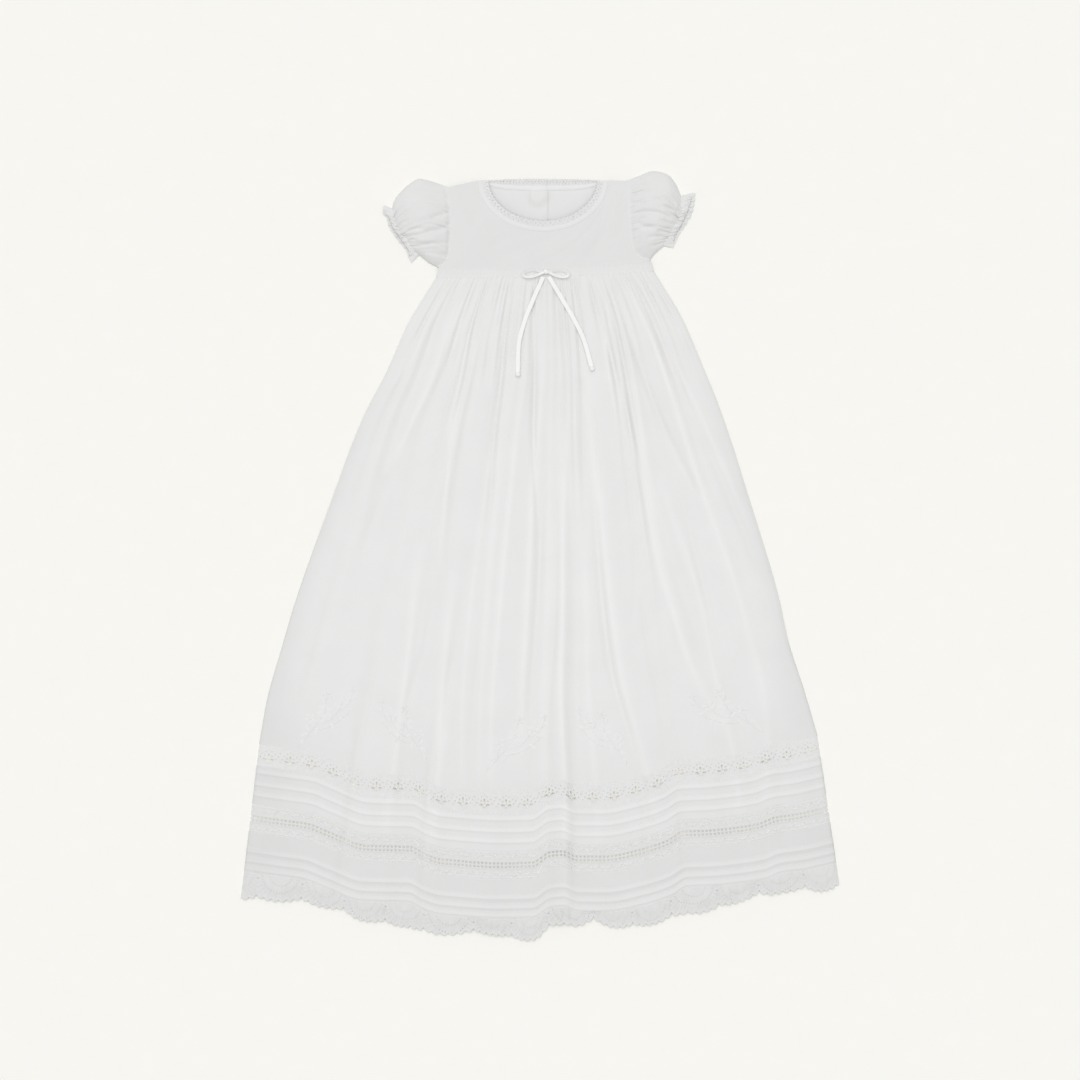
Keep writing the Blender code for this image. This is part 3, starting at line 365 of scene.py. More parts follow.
# %% [markdown]
# ## Long folds
# Cloth that hangs from a gathered seam falls into long folds, and they stay when the gown is laid down.
# Each fold is a ridge or a trough with a bell for its section, as wide as the last column says. Its place
# and height are given at five stations down the skirt.

# %% Folds that the solids have too
SKIRT_LOFT, LOFT_EDGE, BODICE_LOFT = 3.0, 14.0, 4.8
WAIST_LOFT_ENDS, FOLDS_BEGIN = 0.16, 0.05
STATIONS = np.array([0.0, 0.3, 0.6, 1.0, 1.33])
FOLDS = table(
    "at_0 at_1 at_2 at_3 at_4 rise_0 rise_1 rise_2 rise_3 rise_4 width",
    (0.225, 0.17, 0.176, 0.172, 0.155, -2, -1.4, -0.8, -2.2, -1.4, 7),
    (0.285, 0.267, 0.26, 0.245, 0.23, 1, 2, 1.2, 1.4, 1.4, 15),
    (0.32, 0.33, 0.34, 0.308, 0.3, 0, 0, -1, -2.6, -2.4, 7),
    (0.35, 0.37, 0.386, 0.38, 0.37, -2.4, -2.4, -1.6, -0.4, 0, 5),
    (0.4, 0.42, 0.43, 0.42, 0.41, 0.8, 1.2, 1.8, 2.6, 2.8, 20),
    (0.445, 0.478, 0.503, 0.488, 0.475, -2.4, -2.2, -1.6, -0.8, 0, 5),
    (0.541, 0.552, 0.551, 0.538, 0.531, -2.2, -1.4, 3, 5.4, 4.4, 12),
    (0.59, 0.59, 0.59, 0.59, 0.59, 0.6, 0.8, 0, 0, 0, 8),
    (0.632, 0.64, 0.637, 0.682, 0.7, -1.8, -2, -1.8, -1.8, -0.6, 6),
    (0.655, 0.668, 0.672, 0.705, 0.715, 0.6, 1, 2.4, 1.4, 1, 10),
    (0.69, 0.735, 0.735, 0.745, 0.75, -2.4, -2.2, -0.6, -2.2, -1.8, 6),
    (0.74, 0.765, 0.79, 0.8, 0.81, 0.8, 1.6, 3, 2, 2.2, 14),
    (0.79, 0.828, 0.85, 0.87, 0.875, -2, -1.6, -1, -0.8, -0.8, 6),
    (0.835, 0.875, 0.914, 0.905, 0.895, 0.6, 1.2, 2.4, 1.6, 1, 10),
    (0.88, 0.922, 0.968, 0.98, 0.99, -2.2, -2, -1.2, 0, 0, 6),
)


def side_fall(share):
    """Rounded fall from the middle of the front to its side seams."""
    return 1 - np.abs(2 * share - 1) ** 3


def fold_at(what, row, t):
    """Place or height of one fold at t, through its marks at the stations."""
    marks = np.array([FOLDS[f"{what}_{k}"][row] for k in range(len(STATIONS))])
    return smooth(STATIONS, marks, t)


def skirt_height(u, t):
    """Underside of the front: a low loft that fades at the side seams, plus every long fold."""
    u, t = matched(u, t)
    wide, edge = wide_and_edge(u, t)
    skirt = SKIRT_LOFT * (1 - np.exp(-edge / LOFT_EDGE))
    waist = BODICE_LOFT * side_fall(u)
    height = waist + (skirt - waist) * ease(t / WAIST_LOFT_ENDS)
    sides = (1 - bell(edge / LOFT_EDGE)) * ease(t / FOLDS_BEGIN)
    for row, fold_width in enumerate(FOLDS["width"]):
        away = (u - fold_at("at", row, t)) * wide / fold_width
        height = height + fold_at("rise", row, t) * bell(away) * sides
    return FRONT_REST + np.maximum(height, 0.0)


print("long folds:", len(FOLDS["width"]))

# %% [markdown]
# ## Gathers and creases
# Three scales of fold lie over the long ones. Forty-four fine gathers hang from the waist seam; every second
# or third one goes on as a soft pleat; and single creases run on where the cloth was pressed. No two real
# gathers are alike, so the wave's phase drifts across the seam and each gather has its own length.

# %% Gathers
GATHERS, GATHER_HEIGHT = 44, 0.72
PLEATS, PLEAT_HEIGHT = 19, 2.5
ROUNDNESS = 0.8
GATHERS_HANG = table("down size", (0, 0.5), (0.02, 0.9), (0.07, 0.62), (0.14, 0.34), (0.24, 0.12), (0.4, 0))
PLEATS_HANG = table(
    "down size",
    (0, 0), (0.05, 0.42), (0.14, 0.72), (0.35, 0.66), (0.6, 0.28), (1, 0.14), (1.33, 0.06),
)


def wander(u, sizes, rates, starts):
    """Slow uneven drift: a few sine waves of unrelated rates added together."""
    return sum(size * np.sin(TURN * (rate * u + start)) for size, rate, start in zip(sizes, rates, starts))


def rounded_wave(phase, sharp=ROUNDNESS):
    """Rounded hills and narrow valleys: half of one plus the cosine, to a power below one."""
    return (0.5 + 0.5 * np.cos(TURN * phase)) ** sharp


def gathers(u, t):
    """Height of the fine gathers and the soft pleats. Both fade down the skirt, each over its own reach."""
    phase = GATHERS * u + wander(u, (0.34, 0.22, 0.10), (3.3, 7.7, 13.1), (0.1, 0.4, 0.7))
    reach = 1 + wander(u, (0.34, 0.26), (5.3, 12.7), (0.2, 0.7))
    size = 2 * GATHER_HEIGHT * read(GATHERS_HANG, "size", t / reach)
    size = size * (1 + wander(u, (0.35, 0.3), (6.1, 17.3), (0.5, 0.2)))
    fine = size * rounded_wave(phase)
    phase = PLEATS * u + wander(u, (0.6, 0.4), (2.3, 5.9), (0.3, 0.6)) + 0.35 * np.sin(3 * t + 9 * u)
    reach = 1 + wander(u, (0.3, 0.2), (3.7, 8.3), (0.8, 0.1))
    size = PLEAT_HEIGHT * read(PLEATS_HANG, "size", t / reach)
    size = size * (1 + wander(u, (0.35, 0.25), (4.3, 7.9), (0.9, 0.35)))
    return fine + size * (rounded_wave(phase) - 0.5)


print("gathers:", GATHERS, "pleats:", PLEATS)

# %% [markdown]
# ## Single creases
# Each row is one crease: where it starts and ends down the skirt, its share across at the start, the middle
# and the end, how deep it is in millimetres (a ridge where positive) and how wide. It fades in and out with
# the root of a sine along its length. Crests are the ridges where the cloth is pinched up. There it is all
# but doubled, and its colour is also painted lighter than the cloth beside it: a painted highlight.

# %% Creases of the skirt
CREASES = table(
    "from to at_0 at_1 at_2 depth width",
    (0.02, 0.46, 0.352, 0.366, 0.379, -1.8, 3.2), (0.02, 0.47, 0.455, 0.472, 0.495, -1.8, 3),
    (0.02, 0.48, 0.545, 0.559, 0.552, -1.6, 3), (0.02, 0.52, 0.69, 0.738, 0.772, -1.9, 3.4),
    (0.03, 0.48, 0.778, 0.82, 0.892, -1.9, 3.6), (0.03, 0.31, 0.894, 0.9, 0.926, -1.3, 3),
    (0.01, 0.2, 0.946, 0.965, 0.998, -1, 3), (0.19, 0.45, 0.612, 0.652, 0.65, -1.3, 3),
    (0.02, 0.19, 0.06, 0.052, 0.026, -1.3, 3), (0.06, 0.24, 0.191, 0.18, 0.166, -1.3, 3),
    (0.05, 0.2, 0.222, 0.205, 0.187, -1.2, 2.6), (0.05, 0.4, 0.268, 0.254, 0.268, -1.5, 3),
    (0.05, 0.22, 0.295, 0.303, 0.311, -1.2, 2.6), (0.1, 0.58, 0.11, 0.122, 0.104, -1.3, 4.5),
    (0.38, 0.72, 0.378, 0.37, 0.376, -1.3, 4.5), (0.36, 0.76, 0.418, 0.4, 0.397, -1.2, 3.6),
    (0.4, 0.88, 0.51, 0.498, 0.487, -1.4, 4), (0.44, 1, 0.543, 0.537, 0.513, -1.3, 4),
    (0.38, 1, 0.584, 0.58, 0.575, -0.6, 4), (0.38, 1, 0.633, 0.641, 0.695, -1.5, 4.4),
    (0.66, 1, 0.718, 0.733, 0.735, -1.3, 4), (0.4, 0.84, 0.768, 0.796, 0.842, -1.2, 4),
    (0.54, 0.7, 0.72, 0.71, 0.698, -0.8, 3), (0.44, 0.84, 0.846, 0.852, 0.856, -1.1, 4),
    (0.5, 0.9, 0.893, 0.911, 0.906, -1.1, 4), (0.42, 0.72, 0.945, 0.968, 0.992, -1, 3.6),
    (0.55, 0.88, 0.262, 0.275, 0.25, -1.1, 4), (0.74, 1, 0.183, 0.182, 0.17, -1.5, 4),
    (0.74, 1, 0.331, 0.33, 0.299, -1.6, 4), (0.45, 0.95, 0.072, 0.07, 0.058, -1, 5),
)
CRESTS = table(
    "from to at_0 at_1 at_2 depth width",
    (0.02, 0.42, 0.157, 0.15, 0.11, 1.6, 5), (0.02, 0.6, 0.215, 0.252, 0.287, 1.7, 5),
    (0.03, 0.24, 0.322, 0.328, 0.345, 1, 4), (0.05, 0.24, 0.065, 0.066, 0.04, 1.2, 4),
    (0.15, 1, 0.388, 0.39, 0.394, 1.4, 4.5), (0.16, 1, 0.434, 0.421, 0.415, 1.8, 5),
    (0.14, 0.92, 0.495, 0.481, 0.474, 2.1, 5), (0.18, 1.15, 0.53, 0.52, 0.508, 1.2, 5),
    (0.28, 1.33, 0.56, 0.553, 0.545, 2.6, 6), (0.16, 1.2, 0.588, 0.605, 0.603, 1.3, 5),
    (0.12, 1.1, 0.632, 0.652, 0.705, 2.3, 6), (0.04, 0.34, 0.76, 0.705, 0.722, 1.2, 4),
    (0.14, 0.95, 0.772, 0.764, 0.838, 2.1, 6), (0.4, 1.15, 0.8, 0.85, 0.85, 1.4, 5),
    (0.03, 0.26, 0.852, 0.87, 0.88, 1.4, 4), (0.12, 0.66, 0.872, 0.89, 0.915, 1.9, 6),
    (0.55, 1.1, 0.905, 0.93, 0.9, 1.3, 6), (0.18, 0.56, 0.915, 0.955, 0.985, 1.1, 4),
    (0.52, 1.15, 0.225, 0.247, 0.232, 1.6, 6), (0.58, 1.15, 0.312, 0.322, 0.31, 2, 6),
    (0.34, 1, 0.365, 0.358, 0.365, 1.3, 4),
)
MARKS = np.array([0.0, 0.5, 1.0])


def creases(rows, across, down, wide):
    """Sum of the rows' creases: each has a bell section and fades at both of its ends."""
    total = 0.0
    for begins, ends, *places, depth, width in zip(*rows.values()):
        run = np.clip((down - begins) / (ends - begins), 0, 1)
        away = (across - smooth(MARKS, np.array(places), run)) * wide / width
        total = total + depth * bell(away) * np.sqrt(np.sin(np.pi * run))
    return total


print("creases:", len(CREASES["width"]), "crests:", len(CRESTS["width"]))

# %% [markdown]
# ## The upper face of the front
# Long folds, gathers and creases are added up. The sum is kept clear of the cloth of the back, and at the
# side seams it curves down to meet it. There the cloth turns away and is painted greyer: painted shade.

# %% Upper face of the skirt
FLOOR_OF_FRONT, FLOOR_ROUND = 2.2, 3
SIDE_DROP, SIDE_DROP_REACH, SMALL_FOLDS_FADE = 1.7, 2.5, 5
# The crests take a painted highlight and the side seams painted shade, both through the layers mark.
CREST_DOUBLED_AND_LIT, EDGE_PAINTED_SHADE, EDGE_REACH, HEM_REACH, RIGHT_EDGE_LESS_SHADE = 0.13, 0.34, 15.0, 32.0, 0.5
HEM_REACH_FROM, RIGHT_EDGE_LESS_SHADE_FROM = 0.75, 0.9


def above_back(z):
    """Cloth of the front never sinks into the back: it is eased up to a limit by the logarithm of one plus
    an exponential of the height above that limit."""
    return FLOOR_OF_FRONT + np.logaddexp(0, FLOOR_ROUND * (z - FLOOR_OF_FRONT)) / FLOOR_ROUND


def side_seam(edge):
    """At the side seams the front curves down to meet the back: a bell of the distance from the edge."""
    return SIDE_DROP * bell(edge / SIDE_DROP_REACH)


def crests(u, t):
    """Height of the pinched ridges."""
    return creases(CRESTS, u, t, wide_and_edge(u, t)[0])


def crest_and_edge_light(u, t):
    """Added to the layers of cloth: a painted highlight on the crests, where the cloth is all but doubled,
    and painted shade where the side seams turn down. The painted shade at the edge widens from t of 0.75
    down, and from 0.9 down there is less of it at the right."""
    reach = EDGE_REACH + HEM_REACH * ease((t - HEM_REACH_FROM) / 0.3)
    # Painted shade near the side seams, with less of it at the right from 0.9 down.
    grey = EDGE_PAINTED_SHADE * ease(t / 0.5) * (1 - RIGHT_EDGE_LESS_SHADE * (u > 0.5) * ease((t - RIGHT_EDGE_LESS_SHADE_FROM) / 0.15))
    return CREST_DOUBLED_AND_LIT * crests(u, t) - grey * bell(wide_and_edge(u, t)[1] / reach)


def front_surface(u, t, small):
    """Upper face of the front: the long folds, and small folds that fade at the side seams."""
    edge = wide_and_edge(u, t)[1]
    small = small * (1 - bell(edge / SMALL_FOLDS_FADE))
    return above_back(CLOTH + skirt_height(u, t) + small) - side_seam(edge)


def skirt_top(u, t):
    """Upper face of the skirt's front cloth."""
    pressed = creases(CREASES, u, t, wide_and_edge(u, t)[0])
    return front_surface(u, t, gathers(u, t) + pressed + crests(u, t))


print("middle of the skirt:", round(float(skirt_top(0.5, 0.5)), 1), "mm high")

# %% [markdown]
# ## The ribbon's two tails
# The waist bow has two tails of satin ribbon, 5 mm wide, each with a knot tied in its end. A tail is a limp
# flat cord: it lies over the gathers on its own weight, so its height is that of the highest cloth under it.

# %% Routes of the tails
RIBBON_WIDE, RIBBON_THICK, KNOT_RADIUS, KNOT_RAISED = 5.0, 1.0, 3.0, 1.2
TAIL_POINTS = 14
TAIL_LIES_ON = (-0.6, -0.3, 0.0, 0.3, 0.6)
TAILS = {
    "left": table("across down", (0.492, 0), (0.455, 0.04), (0.422, 0.09), (0.409, 0.135), (0.413, 0.185)),
    "right": table("across down", (0.517, 0), (0.56, 0.035), (0.606, 0.082), (0.637, 0.128), (0.652, 0.18)),
}


def step_lengths(path):
    """Length of every step along a path."""
    return np.linalg.norm(np.diff(path, axis=0), axis=1)


def tail_path(rows):
    """Points along a tail, in millimetres: the table's line, at the height of the cloth beneath it."""
    share = np.linspace(0, 1, len(rows["across"]))
    u, t = [smooth(share, rows[k], np.linspace(0, 1, TAIL_POINTS)) for k in ("across", "down")]
    x, y = skirt_plan(u, t)
    aside = RIBBON_WIDE / wide_and_edge(u, t)[0]
    beneath = [skirt_height(u + side * aside, t) for side in TAIL_LIES_ON]
    top = np.max(beneath, axis=0) + 2 * GATHER_HEIGHT
    top[1:-1] = np.maximum.reduce([top[1:-1], top[:-2], top[2:]])
    return np.c_[x, y, top + CLOTH + GAP + RIBBON_THICK / 2]


ROUTES = {side: tail_path(rows) for side, rows in TAILS.items()}
for side, route in ROUTES.items():
    print(side, "tail:", round(float(step_lengths(route).sum()), 1), "mm")

# %% [markdown]
# ## The bodice's pattern
# The bodice is a short yoke cut straight, with a round neck in front and an almost straight one behind. Its
# sides are the armholes. Every sleeve is a puff between the armhole and the cuff.

# %% Seams of the bodice and the sleeves
NECK_X, NECK_Y, NECK_HALF = 3.5, 441.2, 76.0
FRONT_NECK_DEPTH, BACK_NECK_DEPTH, BACK_NECK_RISE = 60.0, 11.5, 0.04
NECK_STARTS, NECK_ENDS = 0.19, 0.79
BINDING, NECK_LACE = 6.0, 7.0
SHOULDER_FALL = 36.0
LEFT_ARMHOLE = table(
    "down x y",
    (0, -107.3, 433.6), (0.28, -103.2, 407.5), (0.45, -102.7, 392), (0.7, -104.7, 365),
    (0.86, -106.4, 351.2), (0.94, -110, 344.6), (1, -119, 339),
)
RIGHT_ARMHOLE = table(
    "down x y",
    (0, 101.3, 440.9), (0.2, 101.3, 425), (0.45, 102.3, 404), (0.75, 105.2, 375), (0.88, 108.4, 359.5),
    (0.95, 115, 351.2), (1, 129.5, 346.6),
)
LEFT_SLEEVE_TOP = table(
    "along x y",
    (0, -107.6, 433.8), (0.12, -117.5, 437.6), (0.35, -140.8, 443.8), (0.52, -152.3, 437.8),
    (0.7, -163, 428), (0.87, -170.8, 417.3), (1, -173.2, 408.9),
)
LEFT_SLEEVE_LOW = table("along x y", (0, -119.4, 339.2), (0.5, -130.5, 345.4), (1, -140.8, 354.2))
LEFT_CUFF = table(
    "down x y",
    (0, -173.2, 408.9), (0.4, -167, 386), (0.65, -156.8, 373.5), (0.9, -146.8, 358.8), (1, -140.8, 354.2),
)
LEFT_FRILL_EDGE = table(
    "down x y",
    (0, -183.1, 413), (0.12, -184.2, 403.7), (0.22, -179.2, 397.4), (0.36, -177.6, 389),
    (0.5, -171.8, 379.3), (0.66, -165.6, 369.7), (0.82, -156.4, 359.2), (0.93, -153.3, 349.6),
    (1, -150.3, 344.8),
)
RIGHT_SLEEVE_TOP = table(
    "along x y",
    (0, 101.7, 441.1), (0.14, 116.2, 447), (0.33, 132.9, 452.7), (0.52, 147.4, 449.6), (0.74, 157.4, 439.8),
    (1, 165, 423.5),
)
RIGHT_SLEEVE_LOW = table("along x y", (0, 129.9, 346.8), (0.5, 134.5, 355.3), (1, 144.5, 364.5))
RIGHT_CUFF = table(
    "down x y",
    (0, 165, 423.5), (0.3, 164.4, 406), (0.5, 160.3, 394.3), (0.7, 153.9, 382.6), (0.87, 147.4, 373.2),
    (1, 144.5, 364.5),
)
RIGHT_FRILL_EDGE = table(
    "down x y",
    (0, 181.9, 427.8), (0.15, 181.4, 418.9), (0.3, 179.6, 409.5), (0.45, 177, 400.1), (0.6, 170.5, 388.6),
    (0.75, 164.6, 380.9), (0.88, 160.4, 372.6), (1, 155.8, 362.2),
)


def bodice_height(x, y):
    """Underside of the front bodice: lofted, and low at the side seams and the shoulders."""
    share = (x - WAIST_LEFT[0]) / (WAIST_RIGHT[0] - WAIST_LEFT[0])
    return FRONT_REST + BODICE_LOFT * side_fall(np.clip(share, 0, 1)) * ease((NECK_Y - y) / SHOULDER_FALL)


def neck_line(depth, inset, flat):
    """Shoulder, neck curve, shoulder. The front neck is half an ellipse, the back a flat fourth power."""
    left, right = [(rows["x"][0], rows["y"][0]) for rows in (LEFT_ARMHOLE, RIGHT_ARMHOLE)]
    half = NECK_HALF - inset

    def at(u):
        u = np.asarray(u, float)
        q = np.clip((u - NECK_STARTS) / (NECK_ENDS - NECK_STARTS), 0, 1)
        if flat:
            x, y = NECK_X + half * (2 * q - 1), NECK_Y - depth * (1 - (2 * q - 1) ** 4)
        else:
            x, y = NECK_X - half * np.cos(np.pi * q), NECK_Y - depth * np.sin(np.pi * q)
        a = np.clip(u / NECK_STARTS, 0, 1)
        b = np.clip((u - NECK_ENDS) / (1 - NECK_ENDS), 0, 1)
        x = x + (1 - a) * (left[0] - NECK_X + half) + b * (right[0] - NECK_X - half)
        return np.array([x, y + (1 - a) * (left[1] - NECK_Y) + b * (right[1] - NECK_Y)])

    return at


def bodice_bottom(u):
    """Seam between the bodice and the waistband."""
    left, right = LEFT_ARMHOLE, RIGHT_ARMHOLE
    u = np.asarray(u, float)
    x = left["x"][-1] * (1 - u) + right["x"][-1] * u
    return np.array([x, sagging(left["y"][-1], right["y"][-1], u)])


def bodice_patch(depth, flat):
    """Plan of the bodice between the neck line, the armholes and the waistband."""
    sides = line_of(LEFT_ARMHOLE), line_of(RIGHT_ARMHOLE)
    return patch(neck_line(depth, 0.0, flat), bodice_bottom, *sides, reach=(NECK_STARTS, 1 - NECK_ENDS))


def neck_strip(depth, flat, outset, inset, rise=0.0):
    """Strip round the neck: v runs from outset to inset, both measured in from the bodice's neck line."""

    def plan(q, v):
        share = NECK_STARTS + (NECK_ENDS - NECK_STARTS) * np.asarray(q, float)
        outer = neck_line(depth - outset * (1 + rise), outset, flat)(share)
        inner = neck_line(depth - inset * (1 + rise), inset, flat)(share)
        return outer * (1 - v) + inner * v

    return plan


print("neck", 2 * NECK_HALF, "mm wide,", FRONT_NECK_DEPTH, "mm deep")

# %% [markdown]
# ## The back closure
# The back is two halves that button in the middle. The left half lies over the right one, and a strip
# turned in along its edge, the facing, is one more cloth thick.

# %% Lap and buttons
BUTTON_X, BUTTON_YS, BUTTON_THICK = -2.3, (423.5, 378.0, 333.5), 2.0
BUTTON_FLAT, BUTTON_SLOPE = 5.2, 15.0
LAP_LEFT, LAP_RIGHT, LAP_SLOPE, LAP_LEVEL, LAP_RISE, FACING = -12.9, 8.2, 20.0, 1.0, 0.8, 0.45


def back_lift(x, y):
    """How far the back lies above the surface where it passes over a button."""
    lift = np.zeros_like(x)
    for button_y in BUTTON_YS:
        away = np.hypot(x - BUTTON_X, y - button_y)
        lift = np.maximum(lift, 1 - ease((away - BUTTON_FLAT) / (BUTTON_SLOPE - BUTTON_FLAT)))
    return (BUTTON_THICK + GAP) * lift


def lapped(x, y):
    """The left half lies over the buttons and over the right half's edge."""
    return back_lift(x, y) + LAP_RISE * ease((x - LAP_LEFT + LAP_SLOPE) / (LAP_SLOPE - LAP_LEVEL))


print("lap:", round(LAP_RIGHT - LAP_LEFT, 1), "mm wide, over", len(BUTTON_YS), "buttons")

# %% [markdown]
# ## Cloth from a grid
# A panel is a grid of points, u to the right and v downwards. `panel` gives it a lower face, a real cloth's
# thickness beneath, and rims all round, so that it is one closed body. A rim's edge is kept sharp and all
# else is smooth. The UV map is in metres along the cloth, so that every weave and thread keeps its own size.

# %% Meshes
THIN = 0.5
SHARP = math.radians(62)
DEEP_TROUGH = 1.4


def xyz(x, y, z):
    """Points from their three coordinates."""
    return np.stack(np.broadcast_arrays(x, y, z), axis=-1)


def both_sides(values):
    """The same values for the upper side's points and for the lower side's."""
    return np.concatenate([values, values])


def add_mesh(name, points, faces, material, uvs=None, marks=None):
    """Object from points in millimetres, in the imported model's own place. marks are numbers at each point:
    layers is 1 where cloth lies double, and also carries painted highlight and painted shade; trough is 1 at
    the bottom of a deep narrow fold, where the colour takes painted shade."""
    mesh = bpy.data.meshes.new(name)
    placed = (np.asarray(points) - MIDDLE) * MM
    faces = faces.tolist() if isinstance(faces, np.ndarray) else faces
    mesh.from_pydata(placed.tolist(), [], faces)
    loops = np.empty(len(mesh.loops), dtype=np.int32)
    mesh.loops.foreach_get("vertex_index", loops)
    if uvs is not None:
        layer = mesh.uv_layers.new(name="cloth")
        layer.data.foreach_set("uv", (np.asarray(uvs)[loops] * MM).astype(np.float32).ravel())
    for mark, values in (marks or {}).items():
        attribute = mesh.attributes.new(mark, "FLOAT", "POINT")
        attribute.data.foreach_set("value", values.astype(np.float32).ravel())
    mesh.materials.append(material)
    mesh.validate()
    mesh.shade_smooth()
    mesh.set_sharp_from_angle(angle=SHARP)
    made = bpy.data.objects.new(name, mesh)
    STAGE.objects.link(made)
    return made


def shell_faces(rows, columns):
    """Faces of a closed shell: a grid whose points run row by row and which faces up for u right and v down,
    the same grid beneath it, and rims round the four sides."""
    count = rows * columns
    k = np.arange(count).reshape(rows, columns)
    upper = np.stack([k[:-1, :-1], k[1:, :-1], k[1:, 1:], k[:-1, 1:]], axis=-1).reshape(-1, 4)
    ring = np.concatenate([k[0, :-1], k[:-1, -1], k[-1, :0:-1], k[:0:-1, 0]])
    following = np.roll(ring, -1)
    rims = np.stack([ring, following, following + count, ring + count], axis=-1)
    return np.concatenate([upper, upper[:, ::-1] + count, rims])


def cloth_lengths(grid):
    """Millimetres along the cloth: mean length of a row's steps and a column's steps, added up."""
    across = np.linalg.norm(np.diff(grid[:, :, :2], axis=1), axis=2).mean(axis=0)
    down = np.linalg.norm(np.diff(grid[:, :, :2], axis=0), axis=2).mean(axis=1)
    u, v = np.r_[0, np.cumsum(across)], np.r_[0, np.cumsum(down)]
    return np.stack(np.meshgrid(u, v), axis=-1).reshape(-1, 2)


def trough_share(height, reach=5):
    """How far each point lies below the mean height of its row, from 0 to 1 at a deep trough. The mean runs
    over so many columns to either side, as the difference of two running sums."""
    sums = np.cumsum(np.pad(height, ((0, 0), (reach + 1, reach)), mode="edge"), axis=1)
    mean = (sums[:, 2 * reach + 1 :] - sums[:, : -2 * reach - 1]) / (2 * reach + 1)
    return np.clip((mean - height) / DEEP_TROUGH, 0.0, 1.0)


def panel(name, grid, material, layers=0.0, warm=1.0):
    """Closed cloth: the grid of upper points, the same points lowered by the thickness, and four rims."""
    upper = grid.reshape(-1, 3)
    layers_and_painted_light = np.broadcast_to(layers, grid.shape[:2])
    # The trough mark, scaled here, carries painted shade into the colour of deep narrow folds.
    marks = {"layers": both_sides(layers_and_painted_light), "trough": both_sides(warm * trough_share(grid[:, :, 2]))}
    points = np.concatenate([upper, upper - (0, 0, THIN)])
    faces = shell_faces(*grid.shape[:2])
    return add_mesh(name, points, faces, material, both_sides(cloth_lengths(grid)), marks)


def steps(start, stop, size):
    """Evenly spaced numbers from start to stop, about so far apart."""
    return np.linspace(start, stop, max(2, int(round(abs(stop - start) / size)) + 1))


print("a shell of 3 by 4 points has", len(shell_faces(3, 4)), "faces")

# %% [markdown]
# ## Lace from a pattern
# Lace is a drawing in thread with air between. Here the drawing is a number at every point of the strip,
# above zero where there is thread. `lace_faces` keeps the part above zero: each small square of the grid is
# cut along the line where the number crosses zero, so that every hole has a clean edge and is truly open.
# The same faces again, moved in square to the cloth, are the lower side, and a rim joins the two round every
# hole. So the lace is one closed body, as thick as its thread.

# %% Cut lace
LACE_THICK, FINE_LACE = 0.45, 0.4
CUT_NEAREST, HALF_STEP = 0.03, 0.5
# The outline of what is kept of a square, by its corners above zero: a counts 1, b 2, c 4 and d 8. They run
# clockwise from the upper left, and ab is the cut between a and b.
CUT_CASES = (
    "", "a ab da", "b bc ab", "a b bc da", "c cd bc", "a ab bc c cd da", "ab b c cd", "a b c cd da",
    "d da cd", "a ab cd d", "ab b bc cd d da", "a b bc cd d",
    "da bc c d", "a ab bc c d", "ab b c d da", "a b c d",
)


def unit(vectors):
    """The vectors with length one."""
    return vectors / (np.linalg.norm(vectors, axis=-1, keepdims=True) + 1e-9)


def crossing(before, after):
    """Share of the way from one number to the next at which it is zero, kept off both ends."""
    share = before / np.where(before == after, 1.0, before - after)
    return np.clip(share, CUT_NEAREST, 1 - CUT_NEAREST)


def lace_faces(thread):
    """Marching squares. Points are (row, column) positions on the grid; faces face up for v down."""
    across, down = crossing(thread[:, :-1], thread[:, 1:]), crossing(thread[:-1], thread[1:])
    spots = [np.indices(k.shape).astype(float) for k in (thread, across, down)]
    spots[1][1] += across
    spots[2][0] += down
    cut_row, cut_column = np.concatenate([spot.reshape(2, -1) for spot in spots], axis=1)
    number = np.arange(thread.size).reshape(thread.shape)
    on_row = thread.size + np.arange(across.size).reshape(across.shape)
    on_column = on_row.max() + 1 + np.arange(down.size).reshape(down.shape)
    corner = {"a": number[:-1, :-1], "b": number[:-1, 1:], "c": number[1:, 1:], "d": number[1:, :-1]}
    corner |= {"ab": on_row[:-1], "cd": on_row[1:], "da": on_column[:, :-1], "bc": on_column[:, 1:]}
    kept = thread > 0
    case = kept[:-1, :-1] + 2 * kept[:-1, 1:] + 4 * kept[1:, 1:] + 8 * kept[1:, :-1]
    cells = []
    for which, names in enumerate(CUT_CASES[1:], 1):
        cells.append(np.stack([corner[name][case == which] for name in names.split()[::-1]], axis=-1))
    used = np.unique(np.concatenate([cell.ravel() for cell in cells]))
    return cut_row[used], cut_column[used], [np.searchsorted(used, cell) for cell in cells]


def open_edges(cells, count):
    """Start and end of every edge that has a face on one side only: its reverse is nobody's edge."""
    edges = [np.stack([cell, np.roll(cell, -1, axis=1)], axis=-1).reshape(-1, 2) for cell in cells]
    start, end = np.concatenate(edges).T
    alone = ~np.isin(start * count + end, end * count + start)
    return start[alone], end[alone]


def lace(name, thread, place, material, thick=LACE_THICK, uvs=None):
    """Lace object: thread is the pattern on a grid, place turns (row, column) into points in millimetres. The
    lower side lies along the cross product of the cloth's two directions, found half a step to each side."""
    row, column, cells = lace_faces(thread)
    upper = place(row, column)
    down = place(row + HALF_STEP, column) - place(row - HALF_STEP, column)
    across = place(row, column + HALF_STEP) - place(row, column - HALF_STEP)
    points = np.concatenate([upper, upper - unit(np.cross(down, across)) * thick])
    count = len(upper)
    start, end = open_edges(cells, count)
    rim = np.stack([end, start, start + count, end + count], axis=-1)
    faces = []
    for cell in cells:
        faces += cell.tolist() + (cell[:, ::-1] + count).tolist()
    flat = uvs(row, column) if uvs else upper[:, :2]
    return add_mesh(name, points, faces + rim.tolist(), material, both_sides(flat))


print("lace cases:", len(CUT_CASES) - 1)

